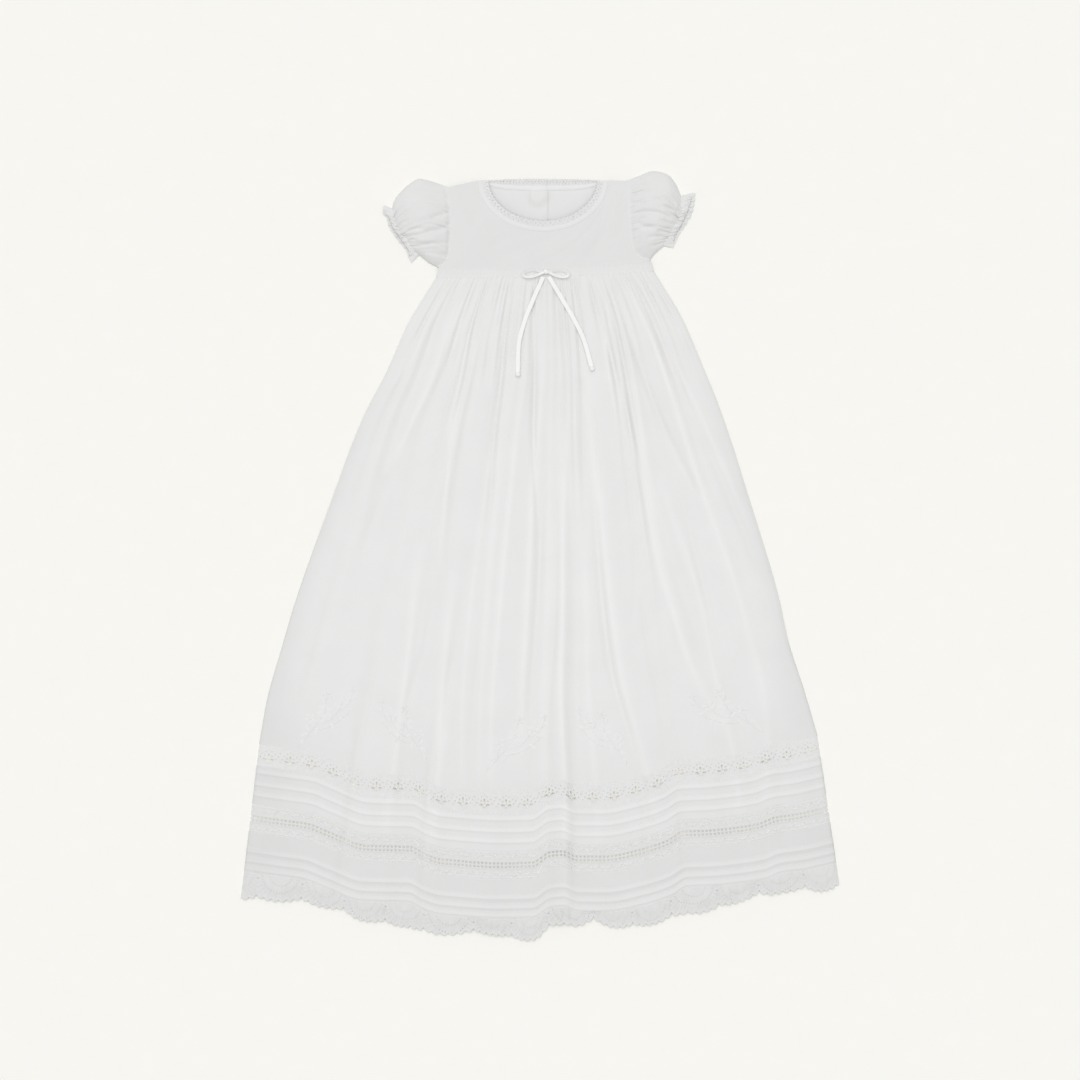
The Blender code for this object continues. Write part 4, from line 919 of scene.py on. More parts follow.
# %% [markdown]
# ## Cotton, lace, ribbon and pearl
# Everything is white, so the materials differ by weave and by how they take the light. Batiste is a fine
# plain weave, a little uneven from its slubby yarn. Its threads are 0.25 mm apart, which is too fine to show,
# so they are drawn at 0.8 mm. Lace thread is coarser. Satin ribbon has a soft gleam along it.

# %% Materials
BAND_PERIOD = 0.314
THREAD_DRAWN = 0.0008
# Painted shade: the colour of a deep narrow trough is mixed a share of the way to this darker, warmer grey.
PAINTED_TROUGH_SHADE, TROUGH_SHADE_SHARE = "#D3CEC2", 0.2


def paint(code):
    """sRGB hex code as linear red, green, blue and alpha."""
    shares = np.array([int(code[k : k + 2], 16) for k in (1, 3, 5)]) / 255
    linear = np.where(shares <= 0.04045, shares / 12.92, ((shares + 0.055) / 1.055) ** 2.4)
    return (*linear.tolist(), 1.0)


def add_node(tree, kind, inputs=None, **settings):
    """Node of one kind: settings are its own fields; inputs are values, or sockets to link from."""
    made = tree.nodes.new(kind)
    for field, value in settings.items():
        setattr(made, field, value)
    for socket, value in (inputs or {}).items():
        if isinstance(value, bpy.types.NodeSocket):
            tree.links.new(value, made.inputs[socket])
        else:
            made.inputs[socket].default_value = value
    return made


def new_material(name, constants):
    """Material, its tree and its shader, with the constants set on the shader's own sockets."""
    material = bpy.data.materials.new(name)
    material.use_nodes = True
    shader = material.node_tree.nodes["Principled BSDF"]
    for socket, value in constants.items():
        shader.inputs[socket].default_value = value
    return material, material.node_tree, shader


def cloth_material(
    name, thick, thin, roughness, uneven=0.3, sheen=0.0, pitch=THREAD_DRAWN, relief=0.05, blotch=26.0,
    glow=0.0,
):
    """Woven cloth. Its colour goes from thin, one layer, to thick, two layers, by the layers attribute and a
    slow noise of the yarn; that attribute also carries painted highlight and painted shade. In a trough the
    colour is painted a little darker and warmer, painted shade for the light that bounces from side to side
    there. Two crossed wave textures give the weave. The glow is painted light: an emission of the thin colour
    that stands in for the light that comes through."""
    constants = {"Roughness": roughness, "IOR": 1.46, "Sheen Weight": sheen, "Sheen Roughness": 0.6}
    # The emission is painted light, which stands in for light that comes through the cloth.
    constants |= {"Specular IOR Level": 0.25, "Emission Color": paint(thin), "Emission Strength": glow}
    material, tree, shader = new_material(name, constants)
    cloth_uv = add_node(tree, "ShaderNodeUVMap", uv_map="cloth").outputs["UV"]
    slubs = add_node(tree, "ShaderNodeTexNoise", {"Vector": cloth_uv, "Scale": blotch, "Detail": 5.0})
    layers = add_node(tree, "ShaderNodeAttribute", attribute_name="layers")
    slubs = add_node(tree, "ShaderNodeMath", {0: slubs.outputs["Fac"], 1: uneven}, operation="MULTIPLY")
    layers_and_painted_light = {0: slubs.outputs["Value"], 1: layers.outputs["Fac"]}
    layers_and_painted_light = add_node(tree, "ShaderNodeMath", layers_and_painted_light, use_clamp=True)
    shades = {"Factor": layers_and_painted_light.outputs["Value"], "A": paint(thin), "B": paint(thick)}
    shades = add_node(tree, "ShaderNodeMix", shades, data_type="RGBA")
    trough = add_node(tree, "ShaderNodeAttribute", attribute_name="trough")
    depth = add_node(tree, "ShaderNodeMath", {0: trough.outputs["Fac"], 1: TROUGH_SHADE_SHARE}, operation="MULTIPLY")
    tinted = {"Factor": depth.outputs["Value"], "A": shades.outputs["Result"], "B": paint(PAINTED_TROUGH_SHADE)}
    tinted = add_node(tree, "ShaderNodeMix", tinted, data_type="RGBA")
    tree.links.new(tinted.outputs["Result"], shader.inputs["Base Color"])
    waves = []
    for direction in ("X", "Y"):
        settings = {"Vector": cloth_uv, "Scale": BAND_PERIOD / pitch, "Distortion": 0.6, "Detail": 1.0}
        waves.append(add_node(tree, "ShaderNodeTexWave", settings, bands_direction=direction))
    weave = add_node(tree, "ShaderNodeMath", {0: waves[0].outputs["Fac"], 1: waves[1].outputs["Fac"]})
    bump = {"Height": weave.outputs["Value"], "Strength": relief, "Distance": 0.0002}
    bump = add_node(tree, "ShaderNodeBump", bump)
    tree.links.new(bump.outputs["Normal"], shader.inputs["Normal"])
    return material


OPEN_WEAVE = {"roughness": 0.9, "uneven": 0.9}
COARSE = OPEN_WEAVE | {"pitch": 0.0011, "relief": 0.10}
FINE_THREAD = {"roughness": 0.8, "uneven": 0.9, "pitch": 0.0006, "relief": 0.1}
BATISTE = cloth_material("cotton batiste", "#EFEFEF", "#DCDCDC", 0.85, sheen=0.1)
LACE = cloth_material("cotton lace", "#EAEAEA", "#DDDDDD", **COARSE, blotch=180.0)
HEM_LACE = cloth_material("cotton net lace", "#E6E6E6", "#D9D9D9", **COARSE, blotch=90.0)
# The back's laces, seen through the holes, are painted greyer and warmer for the shade between the layers, and glow
# with painted light.
INNER_LACE_PAINTED = cloth_material(
    "cotton lace seen through lace", "#E2E0DC", "#D8D6D2", **OPEN_WEAVE, blotch=180.0, glow=0.5
)
INNER_BAND_PAINTED = cloth_material(
    "cotton band seen through holes", "#DCDAD6", "#D0CECA", **OPEN_WEAVE, blotch=180.0, glow=0.45
)
INNER_NET_PAINTED = cloth_material(
    "cotton net seen through net", "#E0E0DE", "#D4D4D1", **OPEN_WEAVE, blotch=90.0, glow=0.4
)
NET = cloth_material(
    "cotton net ground", "#E6E6E6", "#D9D9D9", **OPEN_WEAVE, pitch=0.0013, relief=0.12, blotch=300.0
)
SATIN = cloth_material("satin ribbon", "#F8F8F7", "#F0F0EF", 0.38, 0.9, sheen=0.2, pitch=0.0009, relief=0.02)
THREAD = cloth_material("cotton thread", "#F3F3F2", "#EAEAE9", **FINE_THREAD, blotch=400.0)
EMBROIDERY = cloth_material("white embroidery thread", "#ECECEC", "#E4E4E4", **FINE_THREAD)
pearl_constants = {"Base Color": paint("#E6E1D8"), "Roughness": 0.28, "IOR": 1.53, "Coat Weight": 0.4}
PEARL = new_material("pearl button", pearl_constants)[0]
print("materials:", len(bpy.data.materials))

# %% [markdown]
# ## The floor and the light
# The gown lies on a plain pale floor. One wide soft light hangs almost straight above it, a weaker one leans
# from beyond the head, a little to the left, and a bright room fills the shadows, so folds show as soft grey
# lines and nothing glares.

# %% Floor and lights
FLOOR_HALF = 8.0
WINDOW_COLOUR, ROOM_COLOUR, ROOM_STRENGTH = "#FDFEFF", "#FFFEFC", 0.52


def make_floor():
    """A plain square sheet just under the gown."""
    corners = np.array([(-1, -1, 0), (1, -1, 0), (1, 1, 0), (-1, 1, 0)]) * FLOOR_HALF
    mesh = bpy.data.meshes.new("floor")
    mesh.from_pydata(corners.tolist(), [], [(0, 1, 2, 3)])
    material, tree, shader = new_material("pale paper floor", {"Roughness": 0.95, "Specular IOR Level": 0.1})
    place = add_node(tree, "ShaderNodeTexCoord").outputs["Object"]
    grain = add_node(tree, "ShaderNodeTexNoise", {"Vector": place, "Scale": 40.0, "Detail": 2.0})
    shades = {"Factor": grain.outputs["Fac"], "A": paint("#F8F7F3"), "B": paint("#F6F5F1")}
    shades = add_node(tree, "ShaderNodeMix", shades, data_type="RGBA")
    tree.links.new(shades.outputs["Result"], shader.inputs["Base Color"])
    mesh.materials.append(material)
    made = bpy.data.objects.new("floor_sheet", mesh)
    STAGE.objects.link(made)
    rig.stage(made)


def make_light(name, lean, around, spread, strength):
    """Soft far light like a sky window: it leans from straight above, towards a direction round the gown.
    Angles are in degrees."""
    lamp = bpy.data.lights.new(name, "SUN")
    lamp.angle = math.radians(spread)
    lamp.energy = strength
    lamp.color = paint(WINDOW_COLOUR)[:3]
    made = bpy.data.objects.new(name, lamp)
    lean, around = math.radians(lean), math.radians(around)
    way = Vector((math.sin(lean) * math.cos(around), math.sin(lean) * math.sin(around), math.cos(lean)))
    made.location = way * 3.0
    made.rotation_euler = way.to_track_quat("Z", "Y").to_euler()
    STAGE.objects.link(made)


make_floor()
make_light("window above", 4.0, 100.0, 60.0, 1.05)
make_light("window at the head", 28.0, 112.0, 50.0, 0.56)
room = bpy.data.worlds.new("bright room")
bpy.context.scene.world = room
room.use_nodes = True
room.node_tree.nodes["Background"].inputs["Color"].default_value = paint(ROOM_COLOUR)
room.node_tree.nodes["Background"].inputs["Strength"].default_value = ROOM_STRENGTH
bpy.context.scene.view_settings.view_transform = "Standard"
print("lights:", len(bpy.data.lights))

# %% [markdown]
# ## The skirt
# The front of the skirt is the largest piece: one breadth of batiste gathered into the waist seam. Its grid
# is close enough for a gather to have a rounded back and a narrow valley. The back lies flat on the floor.

# %% Skirt panels
SKIRT_COLUMNS, SKIRT_ROWS, ROWS_CLOSER_UP = 372, 85, 1.25
TROUGH_SHADE_FADES, TROUGH_SHADE_FADE_ENDS = 0.65, 0.6
BACK_TOP, BACK_COLUMNS, BACK_ROW = 0.75, 80, 0.03
# The skirt's tone down its length, through the layers mark: lightest a little below the waist and greyest at the hem,
# painted shade.
SKIRT_TONE_AND_SHADE = table(
    "down layers",
    (0, 0.42), (0.1, 0.48), (0.3, 0.46), (0.6, 0.46), (0.8, 0.42), (0.92, 0.36), (1, 0.26),
)


def ride(made, slot, *solids):
    """The piece takes the place of its solids and rides on the gown."""
    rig.replaces(made, *solids)
    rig.slot(made, slot)
    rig.ride(made, "root")
    return made


def batiste_panel(name, solid, grid, **looks):
    """Panel of batiste in the place of its solid."""
    return ride(panel(name, grid, BATISTE, **looks), "batiste", solid)


def on_skirt(u, t, z):
    """Points at share u across the skirt and t down it, z high."""
    return xyz(*skirt_plan(u, t), z)


levels = np.linspace(0, 1, SKIRT_ROWS) ** ROWS_CLOSER_UP
u, t = np.meshgrid(np.linspace(0, 1, SKIRT_COLUMNS), levels)
# The layers mark of the front also carries the crests' painted highlight and the edges' painted shade.
layers_and_painted_light = read(SKIRT_TONE_AND_SHADE, "layers", levels)[:, None] + crest_and_edge_light(u, t)
# Painted shade in the skirt's troughs, weaker down the skirt.
warmth = (1 - TROUGH_SHADE_FADES * ease(levels / TROUGH_SHADE_FADE_ENDS))[:, None]
front_grid = on_skirt(u, t, skirt_top(u, t))
skirt_front = batiste_panel("skirt_front_cloth", "skirt_front", front_grid, layers=layers_and_painted_light, warm=warmth)
u, t = np.meshgrid(np.linspace(0, 1, BACK_COLUMNS), steps(0.0, 1.0, BACK_ROW))
batiste_panel("skirt_back_cloth", "skirt_back", on_skirt(u, t, BACK_TOP))
print("skirt front:", len(skirt_front.data.polygons), "faces")

# %% [markdown]
# ## Tucks
# A tuck is a fold of the cloth stitched down along one line. It lies towards the hem, so its section rises
# from the stitches, stays level on two thicknesses of cloth, and rounds over at its folded edge. Three tucks
# lie above the beading and three below it. All places are in millimetres below the insertion seam.

# %% Tucked bands
INSERTION, UPPER_TUCKS, BEADING, LOWER_TUCKS = (0.0, 24.6), (24.6, 69.0), (69.0, 101.5), (101.5, 148.0)
TUCK_EDGES_UPPER, TUCK_EDGES_LOWER = (34.2, 48.2, 60.6), (126.4, 137.4, 147.0)
# The last of these is how much painted shade the tucks' troughs take.
TUCK_WIDTH, TUCK_RISE, TUCK_LAYERS, TUCK_TROUGH_SHADE = 6.4, 0.48, 0.26, 0.3
TUCK_SECTION = table(
    "before_edge rise",
    (0, 0), (0.3, 0.45), (0.8, 0.82), (1.4, 1), (2.6, 0.95), (4.2, 0.72), (5.4, 0.36), (6.1, 0.08),
    (6.4, -0.08), (6.8, 0),
)
BAND_COLUMNS, PLAIN_GAP, PLAIN_ROWS = 264, 4.0, 3.0
BAND_SOFT, BAND_SOFT_FROM = 0.35, 20


def tuck_rise(mm, edges):
    """Height of the tucks over the band's plain cloth, from the section of one tuck."""
    total = np.zeros_like(mm)
    for edge in edges:
        before = edge - mm
        inside = (before > 0) & (before < TUCK_SECTION["before_edge"][-1])
        total = total + np.where(inside, TUCK_RISE * read(TUCK_SECTION, "rise", before), 0.0)
    return total


def band_top(u, mm):
    """Upper face of the hem bands: the skirt's own surface, with a slow unevenness for its creases."""
    t = down_from_seam(mm)
    soft = BAND_SOFT * wander(u + 0.02 * mm / 100, (0.5, 0.5, 0.3), (9.0, 17.0, 31.0), (0.2, 0.6, 0.9))
    return front_surface(u, t, gathers(u, t) + crests(u, t) + soft * ease(mm / BAND_SOFT_FROM))


def tucked_band(name, solid, band, edges, plain):
    """Band of batiste with its tucks: close rows over each tuck, wider ones on the plain cloth."""
    rows = np.concatenate([band, *(edge - TUCK_SECTION["before_edge"] for edge in edges)])
    close = np.unique(np.clip(rows, *band))
    between = [steps(a, b, PLAIN_ROWS)[1:-1] for a, b in zip(close[:-1], close[1:]) if b - a > PLAIN_GAP]
    u, mm = np.meshgrid(np.linspace(0, 1, BAND_COLUMNS), np.unique(np.concatenate([close, *between])))
    rise = tuck_rise(mm, edges)
    # The crests and side seams add their painted highlight and painted shade here too.
    layers_and_painted_light = plain + TUCK_LAYERS * np.clip(rise / TUCK_RISE, 0, 1) + crest_and_edge_light(u, down_from_seam(mm))
    grid = on_skirt(u, down_from_seam(mm), band_top(u, mm) + rise)
    return batiste_panel(name, solid, grid, layers=layers_and_painted_light, warm=TUCK_TROUGH_SHADE)


# The lower band's plain cloth has a greyer tone than the upper's: painted shade towards the hem.
tucks = tucked_band("tucks_upper_cloth", "tucks_upper_front", UPPER_TUCKS, TUCK_EDGES_UPPER, 0.2)
tucked_band("tucks_lower_cloth", "tucks_lower_front", LOWER_TUCKS, TUCK_EDGES_LOWER, 0.0)
print("tucked band:", len(tucks.data.polygons), "faces")

# %% [markdown]
# ## Lace insertion
# A strip of cotton lace joins the skirt to the tucks. It has 26 repeats. In each, four leaf-shaped holes
# make a wide low flower with three upright petals, and small dots lie between. A raised stitched rim runs
# round every hole.

# %% Lace insertion
REPEATS, INSERTION_PITCH = 26, 25.2
COLUMNS_A_REPEAT, LACE_ROW = 31, 0.8
RIM_RISE, RIM_WIDE, SEWN_EDGE = 0.35, 0.8, 0.2
INSERTION_HOLES = table(
    "x y long tall tilt",
    (-3.6, 16.3, 2.99, 1.32, 14), (3.8, 16.2, 2.9, 1.32, -14), (0, 18.6, 2.46, 0.7, 0),
    (0, 14.6, 1.5, 0.97, 0), (0, 10.6, 1.06, 2.02, 0), (-3.9, 11.8, 0.88, 1.58, 24),
    (4.1, 11.9, 0.88, 1.5, -24), (-8.8, 14.2, 1.14, 0.79, 20), (8.9, 14.3, 1.06, 0.79, -20),
    (-7.2, 9.4, 0.75, 0.75, 0), (7.4, 9.2, 0.75, 0.75, 0), (-11.2, 17.2, 0.7, 0.7, 0),
    (11.7, 10.9, 0.88, 0.88, 0), (-11.9, 7.2, 0.66, 0.66, 0), (-3.4, 6.6, 0.7, 0.7, 0),
    (3.2, 6.4, 0.7, 0.7, 0), (0, 4.9, 0.62, 0.62, 0),
)


def insertion_pattern(u, mm):
    """Thread of the insertion at share u across and mm below its upper seam: the distance from the nearest
    hole's edge, below zero inside it. A hole is a tilted ellipse."""
    x = (np.mod(u * REPEATS, 1.0) - 0.5) * INSERTION_PITCH
    nearest = np.full(x.shape, 99.0)
    for cx, cy, long, tall, tilt in zip(*INSERTION_HOLES.values()):
        c, s = math.cos(math.radians(tilt)), math.sin(math.radians(tilt))
        dx, dy = x - cx, mm - cy
        along, across = (dx * c + dy * s) / long, (dy * c - dx * s) / tall
        nearest = np.minimum(nearest, (np.sqrt(along**2 + across**2) - 1) * min(long, tall))
    return nearest


def stitched_rims(u, mm):
    """Stitched rims: a bell of the distance from the nearest hole."""
    return RIM_RISE * bell(insertion_pattern(u, mm) / RIM_WIDE)


def lace_band(name, solid, us, mms, pattern, material, height, relief=None):
    """Lace of the hem: a pattern over shares across and millimetres down, whole along its two sewn edges."""
    thread = pattern(*np.meshgrid(us, mms))
    ends = thread[[0, -1]]
    thread[[0, -1]] = np.where(ends > -SEWN_EDGE, np.maximum(ends, SEWN_EDGE), ends)

    def place(row, column):
        u = np.interp(column, np.arange(len(us)), us)
        mm = np.interp(row, np.arange(len(mms)), mms)
        return on_skirt(u, down_from_seam(mm), height(u, mm) + (relief(u, mm) if relief else 0.0))

    return ride(lace(name, thread, place, material), "lace", solid)


insertion = lace_band(
    "insertion_lace",
    "insertion_front",
    np.linspace(0, 1, COLUMNS_A_REPEAT * REPEATS + 1),
    steps(*INSERTION, LACE_ROW),
    insertion_pattern,
    LACE,
    band_top,
    stitched_rims,
)
print("insertion:", len(insertion.data.polygons), "faces")

# %% [markdown]
# ## Thread
# Cords, stitches, stems and veins are all thread, so one function makes them. It sweeps a small ring along
# each path. At every point the ring stands square to the path: one arm is level, the other is square to both.

# %% Thread along paths


def tube_faces(rows, around, way=1):
    """Walls and two lids of a tube of rings. way is -1 where its rings run the other way round."""
    k = np.arange(rows * around).reshape(rows, around)
    n = np.roll(k, -1, axis=1)
    walls = (k[:-1], k[1:], n[1:], n[:-1]) if way > 0 else (k[:-1], n[:-1], n[1:], k[1:])
    return np.stack(walls, axis=-1).reshape(-1, 4), [k[0, ::way], k[-1, ::-way]]


def closed_tube(rows, around, way=1):
    """The same as one list of faces."""
    walls, lids = tube_faces(rows, around, way)
    return walls.tolist() + [lid.tolist() for lid in lids]


def thread_piece(name, paths, radius, sides=5, material=THREAD):
    """One object of closed tubes along paths of equal point counts."""
    paths = np.asarray(paths, float)
    many, count = paths.shape[:2]
    along = unit(np.gradient(paths, axis=1))
    level = unit(xyz(along[..., 1], -along[..., 0], 0.0))
    turn = TURN * (np.arange(sides) + 0.5) / sides
    arms = np.cos(turn)[:, None] * level[:, :, None]
    arms = arms + np.sin(turn)[:, None] * np.cross(level, along)[:, :, None]
    points = (paths[:, :, None] + radius * arms).reshape(-1, 3)
    starts = count * sides * np.arange(many)[:, None]
    walls, lids = tube_faces(count, sides)
    faces = (walls + starts[..., None]).reshape(-1, 4).tolist()
    for lid in lids:
        faces += (lid + starts).tolist()
    return add_mesh(name, points, faces, material, points[:, :2])


def on_front(u, mm, above=0.0):
    """Point on the hem bands at share u, mm below the insertion seam."""
    u, mm = matched(u, mm)
    return on_skirt(u, down_from_seam(mm), band_top(u, mm) + above)


# %% [markdown]
# ## Beading
# Between the tucks runs a band of lace with a ladder along its middle: two rows of small open spaces with a
# string of beads between them. Double cords wave above and below it, each beside a straight one.

# %% Beading band
HEM_WIDE = 640
LADDER_AT, LADDER_NEAR, LADDER_FAR, LADDER_PITCH, LADDER_REACH = 86.1, 0.75, 3.3, 4.35, 4.8
BAR_HALF, COLUMNS_A_BAR = 0.75, 5
RAIL_AWAY, RAIL_HALF, RAIL_RISE, BEAD_TALL, BEAD_LONG = 0.7, 0.6, 0.5, 0.9, 1.2
BARS = int(HEM_WIDE / LADDER_PITCH)
BRAID_AWAY, BRAID_SWING, BRAID_PERIOD, BRAID_APART, BRAID_RADIUS = 10.2, 1.9, 12.6, 0.55, 0.45
STRAIGHT_FARTHER, BRAID_ABOVE, STRAIGHT_ABOVE = 4.2, 0.3, 0.2


def beside_ladder(u, mm):
    """Distance from the ladder's middle, and from the nearest bar's middle."""
    return np.abs(mm - LADDER_AT), np.abs(np.mod(u * BARS, 1.0) - 0.5) * LADDER_PITCH


def ladder_pattern(u, mm):
    """Thread everywhere but in two rows of small oblong holes, one on each side of a string of beads."""
    away, x = beside_ladder(u, mm)
    return np.maximum.reduce([BAR_HALF - x, LADDER_NEAR - away, away - LADDER_FAR])


def ladder_relief(u, mm):
    """Rails beside the ladder and beads along its middle stand up from the ground: bells of the distance."""
    away, x = beside_ladder(u, mm)
    rail = RAIL_RISE * bell((away - LADDER_FAR - RAIL_AWAY) / RAIL_HALF)
    return rail + RAIL_RISE * np.exp(-((away / BEAD_TALL) ** 2) - (x / BEAD_LONG) ** 2)


ladder_from, ladder_to = LADDER_AT - LADDER_REACH, LADDER_AT + LADDER_REACH
outside = steps(BEADING[0], ladder_from, 1.7), steps(ladder_to, BEADING[1], 1.7)
beading = lace_band(
    "beading_band",
    "beading_front",
    np.linspace(0, 1, COLUMNS_A_BAR * BARS + 1),
    np.unique(np.r_[outside[0], steps(ladder_from, ladder_to, 0.6), outside[1]]),
    ladder_pattern,
    NET,
    band_top,
    ladder_relief,
)
along_band = np.linspace(0.001, 0.999, 390)
braids = []
for side in (-1, 1):
    wave = BRAID_SWING * np.sin(TURN * (along_band * HEM_WIDE / BRAID_PERIOD + 0.1 * side))
    for aside in (-BRAID_APART, BRAID_APART):
        braids.append(on_front(along_band, LADDER_AT + side * (BRAID_AWAY + wave) + aside, BRAID_ABOVE))
    straight_mm = LADDER_AT + side * (BRAID_AWAY + STRAIGHT_FARTHER)
    braids.append(on_front(along_band, straight_mm, STRAIGHT_ABOVE))
braid_cords = ride(thread_piece("beading_cords", braids, BRAID_RADIUS), "lace")
print("beading:", len(beading.data.polygons), "faces, bars:", BARS)

# %% [markdown]
# ## Scalloped lace at the hem
# The gown ends in a wide cotton lace. Its lower edge runs in scallops about 48 mm wide, each with six small
# petals. Every scallop has a fan: two rings of eyelets, arches of thread between them, and ribs outside.

# %% Hem lace
EDGING_TOP, EDGING_TIP, SCALLOP_WIDE = 148.0, 184.0, 48.0
SINK_SHARE, SINK_REACH = 0.55, 20.0
PETALS, PETAL_DEPTH, SCALLOP_ROUND = 6, 3.3, 0.65
SCALLOPS = table(
    "across valley rise",
    (-0.045, 175.5, 9.6), (0.025, 172.7, 8.4), (0.1, 168.5, 8.4), (0.17, 160.3, 9.2), (0.24, 166.9, 11),
    (0.304, 168, 7.6), (0.388, 160.6, 6), (0.452, 165.7, 10.4), (0.514, 165.4, 10), (0.59, 152.8, 9.6),
    (0.655, 164.3, 9.4), (0.72, 166.2, 13.6), (0.798, 167.9, 7.6), (0.868, 158.9, 10.6),
    (0.944, 164.1, 12.4), (1.003, 168.1, 0),
)
FAN_HALF, FAN_DEEP, FAN_RADIUS, FAN_HOLE = 27.0, 30.5, 28.0, 0.62
FAN_RINGS = table("at rays", (0.46, 13), (0.74, 21))
FAN_ARCHES, FAN_RIBS = (0.30, 0.39, 0.55, 0.64, 0.84), 38
FAN_ABOVE, BETWEEN_HOLE, BETWEEN_DOWN, BORDER_FROM, BORDER_TO = 2.0, 0.9, 8.0, 2.2, 1.6
EDGE_CORD, EDGE_CORD_RISE, ARCH_WIDE, ARCH_RISE, RIB_RISE, PLAIN_EDGE = 0.8, 0.45, 0.7, 0.16, 0.45, 1.5
HEM_COLUMNS, HEM_ROW = 780, 0.9


def scallop_at(u):
    """Which scallop a share across is in, and how far through it, from 0 to 1."""
    which = np.clip(np.searchsorted(SCALLOPS["across"], u, side="right") - 1, 0, len(SCALLOPS["across"]) - 2)
    start, end = SCALLOPS["across"][which], SCALLOPS["across"][which + 1]
    return which, (u - start) / (end - start)


def scallop_edge(u):
    """Lower edge in mm below the insertion seam: from valley to valley a straight line, plus an arch, plus
    small petals along it. The valleys are uneven because the folds of the skirt pull the lace up."""
    which, share = scallop_at(u)
    valleys = SCALLOPS["valley"]
    line = valleys[which] * (1 - share) + valleys[which + 1] * share
    arch = np.abs(np.sin(np.pi * share)) ** SCALLOP_ROUND
    petal = np.abs(np.sin(np.pi * share * PETALS))
    return line + (SCALLOPS["rise"][which] - PETAL_DEPTH) * arch + PETAL_DEPTH * petal


def in_fan(u, mm):
    """Place in a scallop's fan: x from its middle, y below its top, how far out, and the ray's angle."""
    x = (scallop_at(u)[1] - 0.5) * SCALLOP_WIDE
    y = mm - EDGING_TOP + FAN_ABOVE
    far = np.hypot(x / FAN_HALF, y / FAN_DEEP)
    return x, y, far, np.arctan2(x / FAN_HALF, np.maximum(y, 0.01) / FAN_DEEP)


def fan_pattern(u, mm):
    """Rings of small round holes about the top of each scallop, in shares of the scallop's radius, and one
    hole between every two scallops."""
    x, y, far, angle = in_fan(u, mm)
    open_part = np.full(u.shape, -9.0)
    for at, rays in zip(*FAN_RINGS.values()):
        ray = np.abs(np.mod(angle / np.pi * rays + 0.5, 1.0) - 0.5) * np.pi / rays * far * FAN_RADIUS
        open_part = np.maximum(open_part, FAN_HOLE - np.hypot(ray, (far - at) * FAN_RADIUS))
    between = BETWEEN_HOLE - np.hypot(SCALLOP_WIDE / 2 - np.abs(x), y - BETWEEN_DOWN)
    return -np.maximum(open_part, between)


def hem_pattern(u, mm):
    """The fans, cut off along the scalloped edge, with a solid border of thread beside it."""
    edge = scallop_edge(u) - mm
    inside = np.where(edge < BORDER_FROM, 9.0, fan_pattern(u, mm))
    return np.minimum(np.maximum(inside, BORDER_TO - edge), edge)


def hem_relief(u, mm):
    """A cord along the scalloped edge, arches between the rings, and soft ribs that run outwards."""
    far, angle = in_fan(u, mm)[2:]
    edge = scallop_edge(u) - mm
    arches = sum(bell((far - at) * FAN_RADIUS / ARCH_WIDE) for at in FAN_ARCHES)
    ribs = (0.5 + 0.5 * np.cos(angle * FAN_RIBS)) ** 2 * ease((far - 0.5) / 0.3)
    cord = EDGE_CORD_RISE * bell((edge - EDGE_CORD) / EDGE_CORD)
    return cord + np.where(edge > PLAIN_EDGE, ARCH_RISE * arches + RIB_RISE * ribs, 0.0)


def hem_top(u, mm):
    """The lace is limp, so it leaves the height of the bands and sinks towards the floor at its edge."""
    top = band_top(u, mm)
    return top - SINK_SHARE * ease((mm - scallop_edge(u) + SINK_REACH) / SINK_REACH) * (top - BACK_TOP)


hem_lace = lace_band(
    "hem_lace_front_cloth",
    "hem_lace_front",
    np.linspace(0, 1, HEM_COLUMNS),
    steps(EDGING_TOP, EDGING_TIP + 1.0, HEM_ROW),
    hem_pattern,
    HEM_LACE,
    hem_top,
    hem_relief,
)
print("hem lace:", len(hem_lace.data.polygons), "faces")

# %% [markdown]
# ## The back of the hem
# The back's bands lie flat on the surface, 6 mm shorter than the front's. Its insertion and its edging are
# cut like the front's, because they show through the holes. Its beading is a plain band and its tucks are
# pressed flat, because neither can be seen beneath the gown.

# %% Bands of the back
BACK_SHORTER = 6.0
LOWER_BACK = LOWER_TUCKS[0], LOWER_TUCKS[1] - BACK_SHORTER
PLAIN_BANDS = (
    ("tucks_upper_back_cloth", "tucks_upper_back", *UPPER_TUCKS, BATISTE, "batiste"),
    ("beading_back_band", "beading_back", *BEADING, INNER_BAND_PAINTED, "lace"),
    ("tucks_lower_back_cloth", "tucks_lower_back", *LOWER_BACK, BATISTE, "batiste"),
)


def flat_back(u, mm):
    """The back's laces lie at one height."""
    return BACK_TOP


def back_hem_pattern(u, mm):
    """The front's scallops, moved up by as much as the back is shorter."""
    return hem_pattern(u, mm + BACK_SHORTER)


# The back's laces and beading take the greyer, glowing materials: painted shade and painted light.
back_insertion = lace_band(
    "insertion_back_lace",
    "insertion_back",
    np.linspace(0, 1, 16 * REPEATS + 1),
    steps(*INSERTION, 1.7),
    insertion_pattern,
    INNER_LACE_PAINTED,
    flat_back,
)
for name, solid, start, stop, material, slot in PLAIN_BANDS:
    u, mm = np.meshgrid(np.linspace(0, 1, 140), steps(start, stop, 5.0))
    ride(panel(name, on_skirt(u, down_from_seam(mm), BACK_TOP), material, layers=0.2), slot, solid)
hem_back = lace_band(
    "hem_lace_back_cloth",
    "hem_lace_back",
    np.linspace(0, 1, 420),
    steps(EDGING_TOP - BACK_SHORTER, EDGING_TIP - BACK_SHORTER + 1.0, 1.6),
    back_hem_pattern,
    INNER_NET_PAINTED,
    flat_back,
)
print("back lace:", len(back_insertion.data.polygons) + len(hem_back.data.polygons), "faces")

